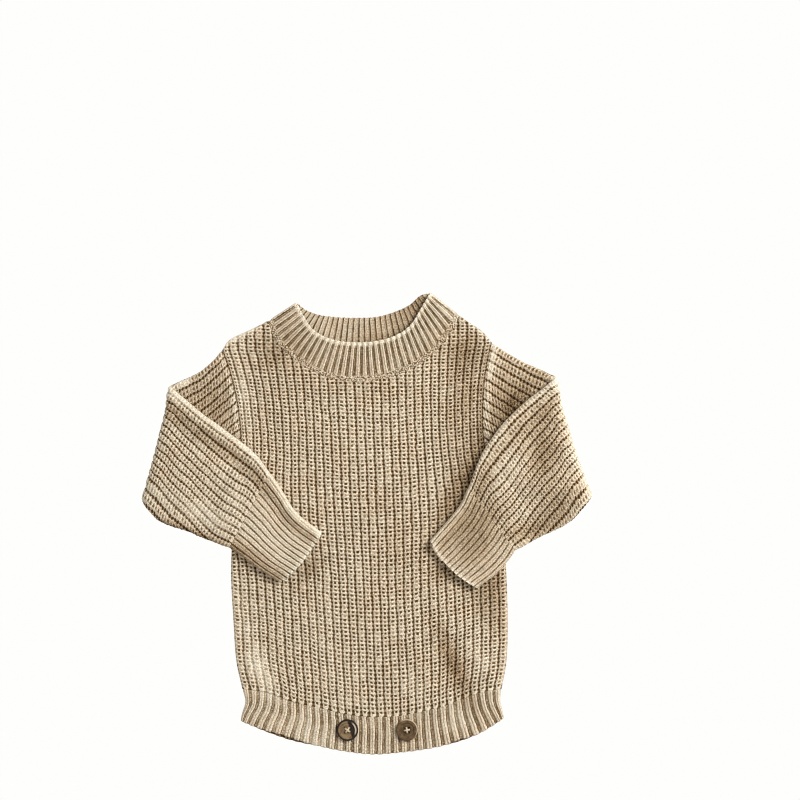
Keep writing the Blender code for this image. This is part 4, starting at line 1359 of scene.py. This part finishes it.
pieces = {
    "front_panel": panel("front_knit", COLLAR_FRONT, True, ROW_SAMPLES),
    "back_panel": panel("back_knit", COLLAR_BACK, False, HIDDEN_ROW_SAMPLES),
    "collar": collar(),
    "front_hem_band": hem_band("front_hem_knit", True),
    "back_hem_band": hem_band("back_hem_knit", False),
}
Knit = namedtuple("Knit", "wales samples row row_samples stitches material")
TUBES = {
    "sleeve": Knit(SLEEVE_WALES, WALE_SAMPLES, SLEEVE_ROW, ROW_SAMPLES, chunky, SLEEVE_KNIT),
    "cuff": Knit(CUFF_WALES, RIB_SAMPLES, RIB_ROW, RIB_ROW_SAMPLES, ribbed, CUFF_KNIT),
}
for arm in (LEFT, RIGHT):
    for part, knit in TUBES.items():
        pieces[f"{arm.name}_{part}"] = tube(arm, part, *knit)

# the columns of a piece's cut: width, length and flat area, in metres, then slot, held and rests_on. On a
# tube the width goes all round. Nothing below uses it.
Cut = namedtuple("Cut", "width length area slot held rests_on")
for node, piece in pieces.items():
    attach(piece, "root")
    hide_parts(node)

THREAD_LOOK = sewing_thread()
for node, wood, turn in (("left_button", left_wood(), 0.15), ("right_button", right_wood(), -0.6)):
    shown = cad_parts[node].material_slots[0]
    shown.link = "OBJECT"
    shown.material = wood
    thread = button_stitches(node, turn, THREAD_LOOK)
    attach(thread, "root")

# ---- floor, light and camera

FLOOR_SIZE, FLOOR_Z, FLOOR_WHITE = 6, -0.0004, (0.991, 0.991, 0.973, 1)
bpy.ops.mesh.primitive_plane_add(size=FLOOR_SIZE, location=(0, 0, FLOOR_Z))
floor = bpy.context.object
floor.name = "floor"
white = Shades(
    "floor_white", Base_Color=(0, 0, 0, 1), Specular_IOR_Level=0, Emission_Color=FLOOR_WHITE,
    Emission_Strength=1.0,
)
floor.data.materials.append(white.material)

SKY_COLOUR, SKY_STRENGTH = (1, 0.965, 0.91, 1), 0.55
world = bpy.data.worlds.new("studio")
bpy.context.scene.world = world
world.use_nodes = True
sky = world.node_tree.nodes["Background"].inputs
sky["Color"].default_value = SKY_COLOUR
sky["Strength"].default_value = SKY_STRENGTH

KEY_PLACE, KEY_SIZE, KEY_POWER = Vector((1.5, 0.85, 1.7)), 0.9, 55
key_data = bpy.data.lights.new("key", "AREA")
key_data.shape = "DISK"
key_data.size, key_data.energy = KEY_SIZE, KEY_POWER
key = linked("key", key_data)
key.location = KEY_PLACE
key.rotation_euler = (-KEY_PLACE).to_track_quat("-Z", "Y").to_euler()

CAMERA_X, CAMERA_Y, VIEW_WIDTH, DISTANCE = 0.0288, 0.1125, 0.72, 4.0
SENSOR, MIDDLE_HEIGHT = 36, 0.007   # mm, and the height in metres where the view is as wide as that
camera_data = bpy.data.cameras.new("camera")
camera_data.sensor_width = SENSOR
camera_data.lens = SENSOR * (DISTANCE - MIDDLE_HEIGHT) / VIEW_WIDTH
camera = linked("camera", camera_data)
camera.location = (CAMERA_X, CAMERA_Y, DISTANCE)
bpy.context.scene.camera = camera
bpy.context.scene.view_settings.view_transform = "Standard"
bpy.context.scene.cycles.filter_width = 1.0
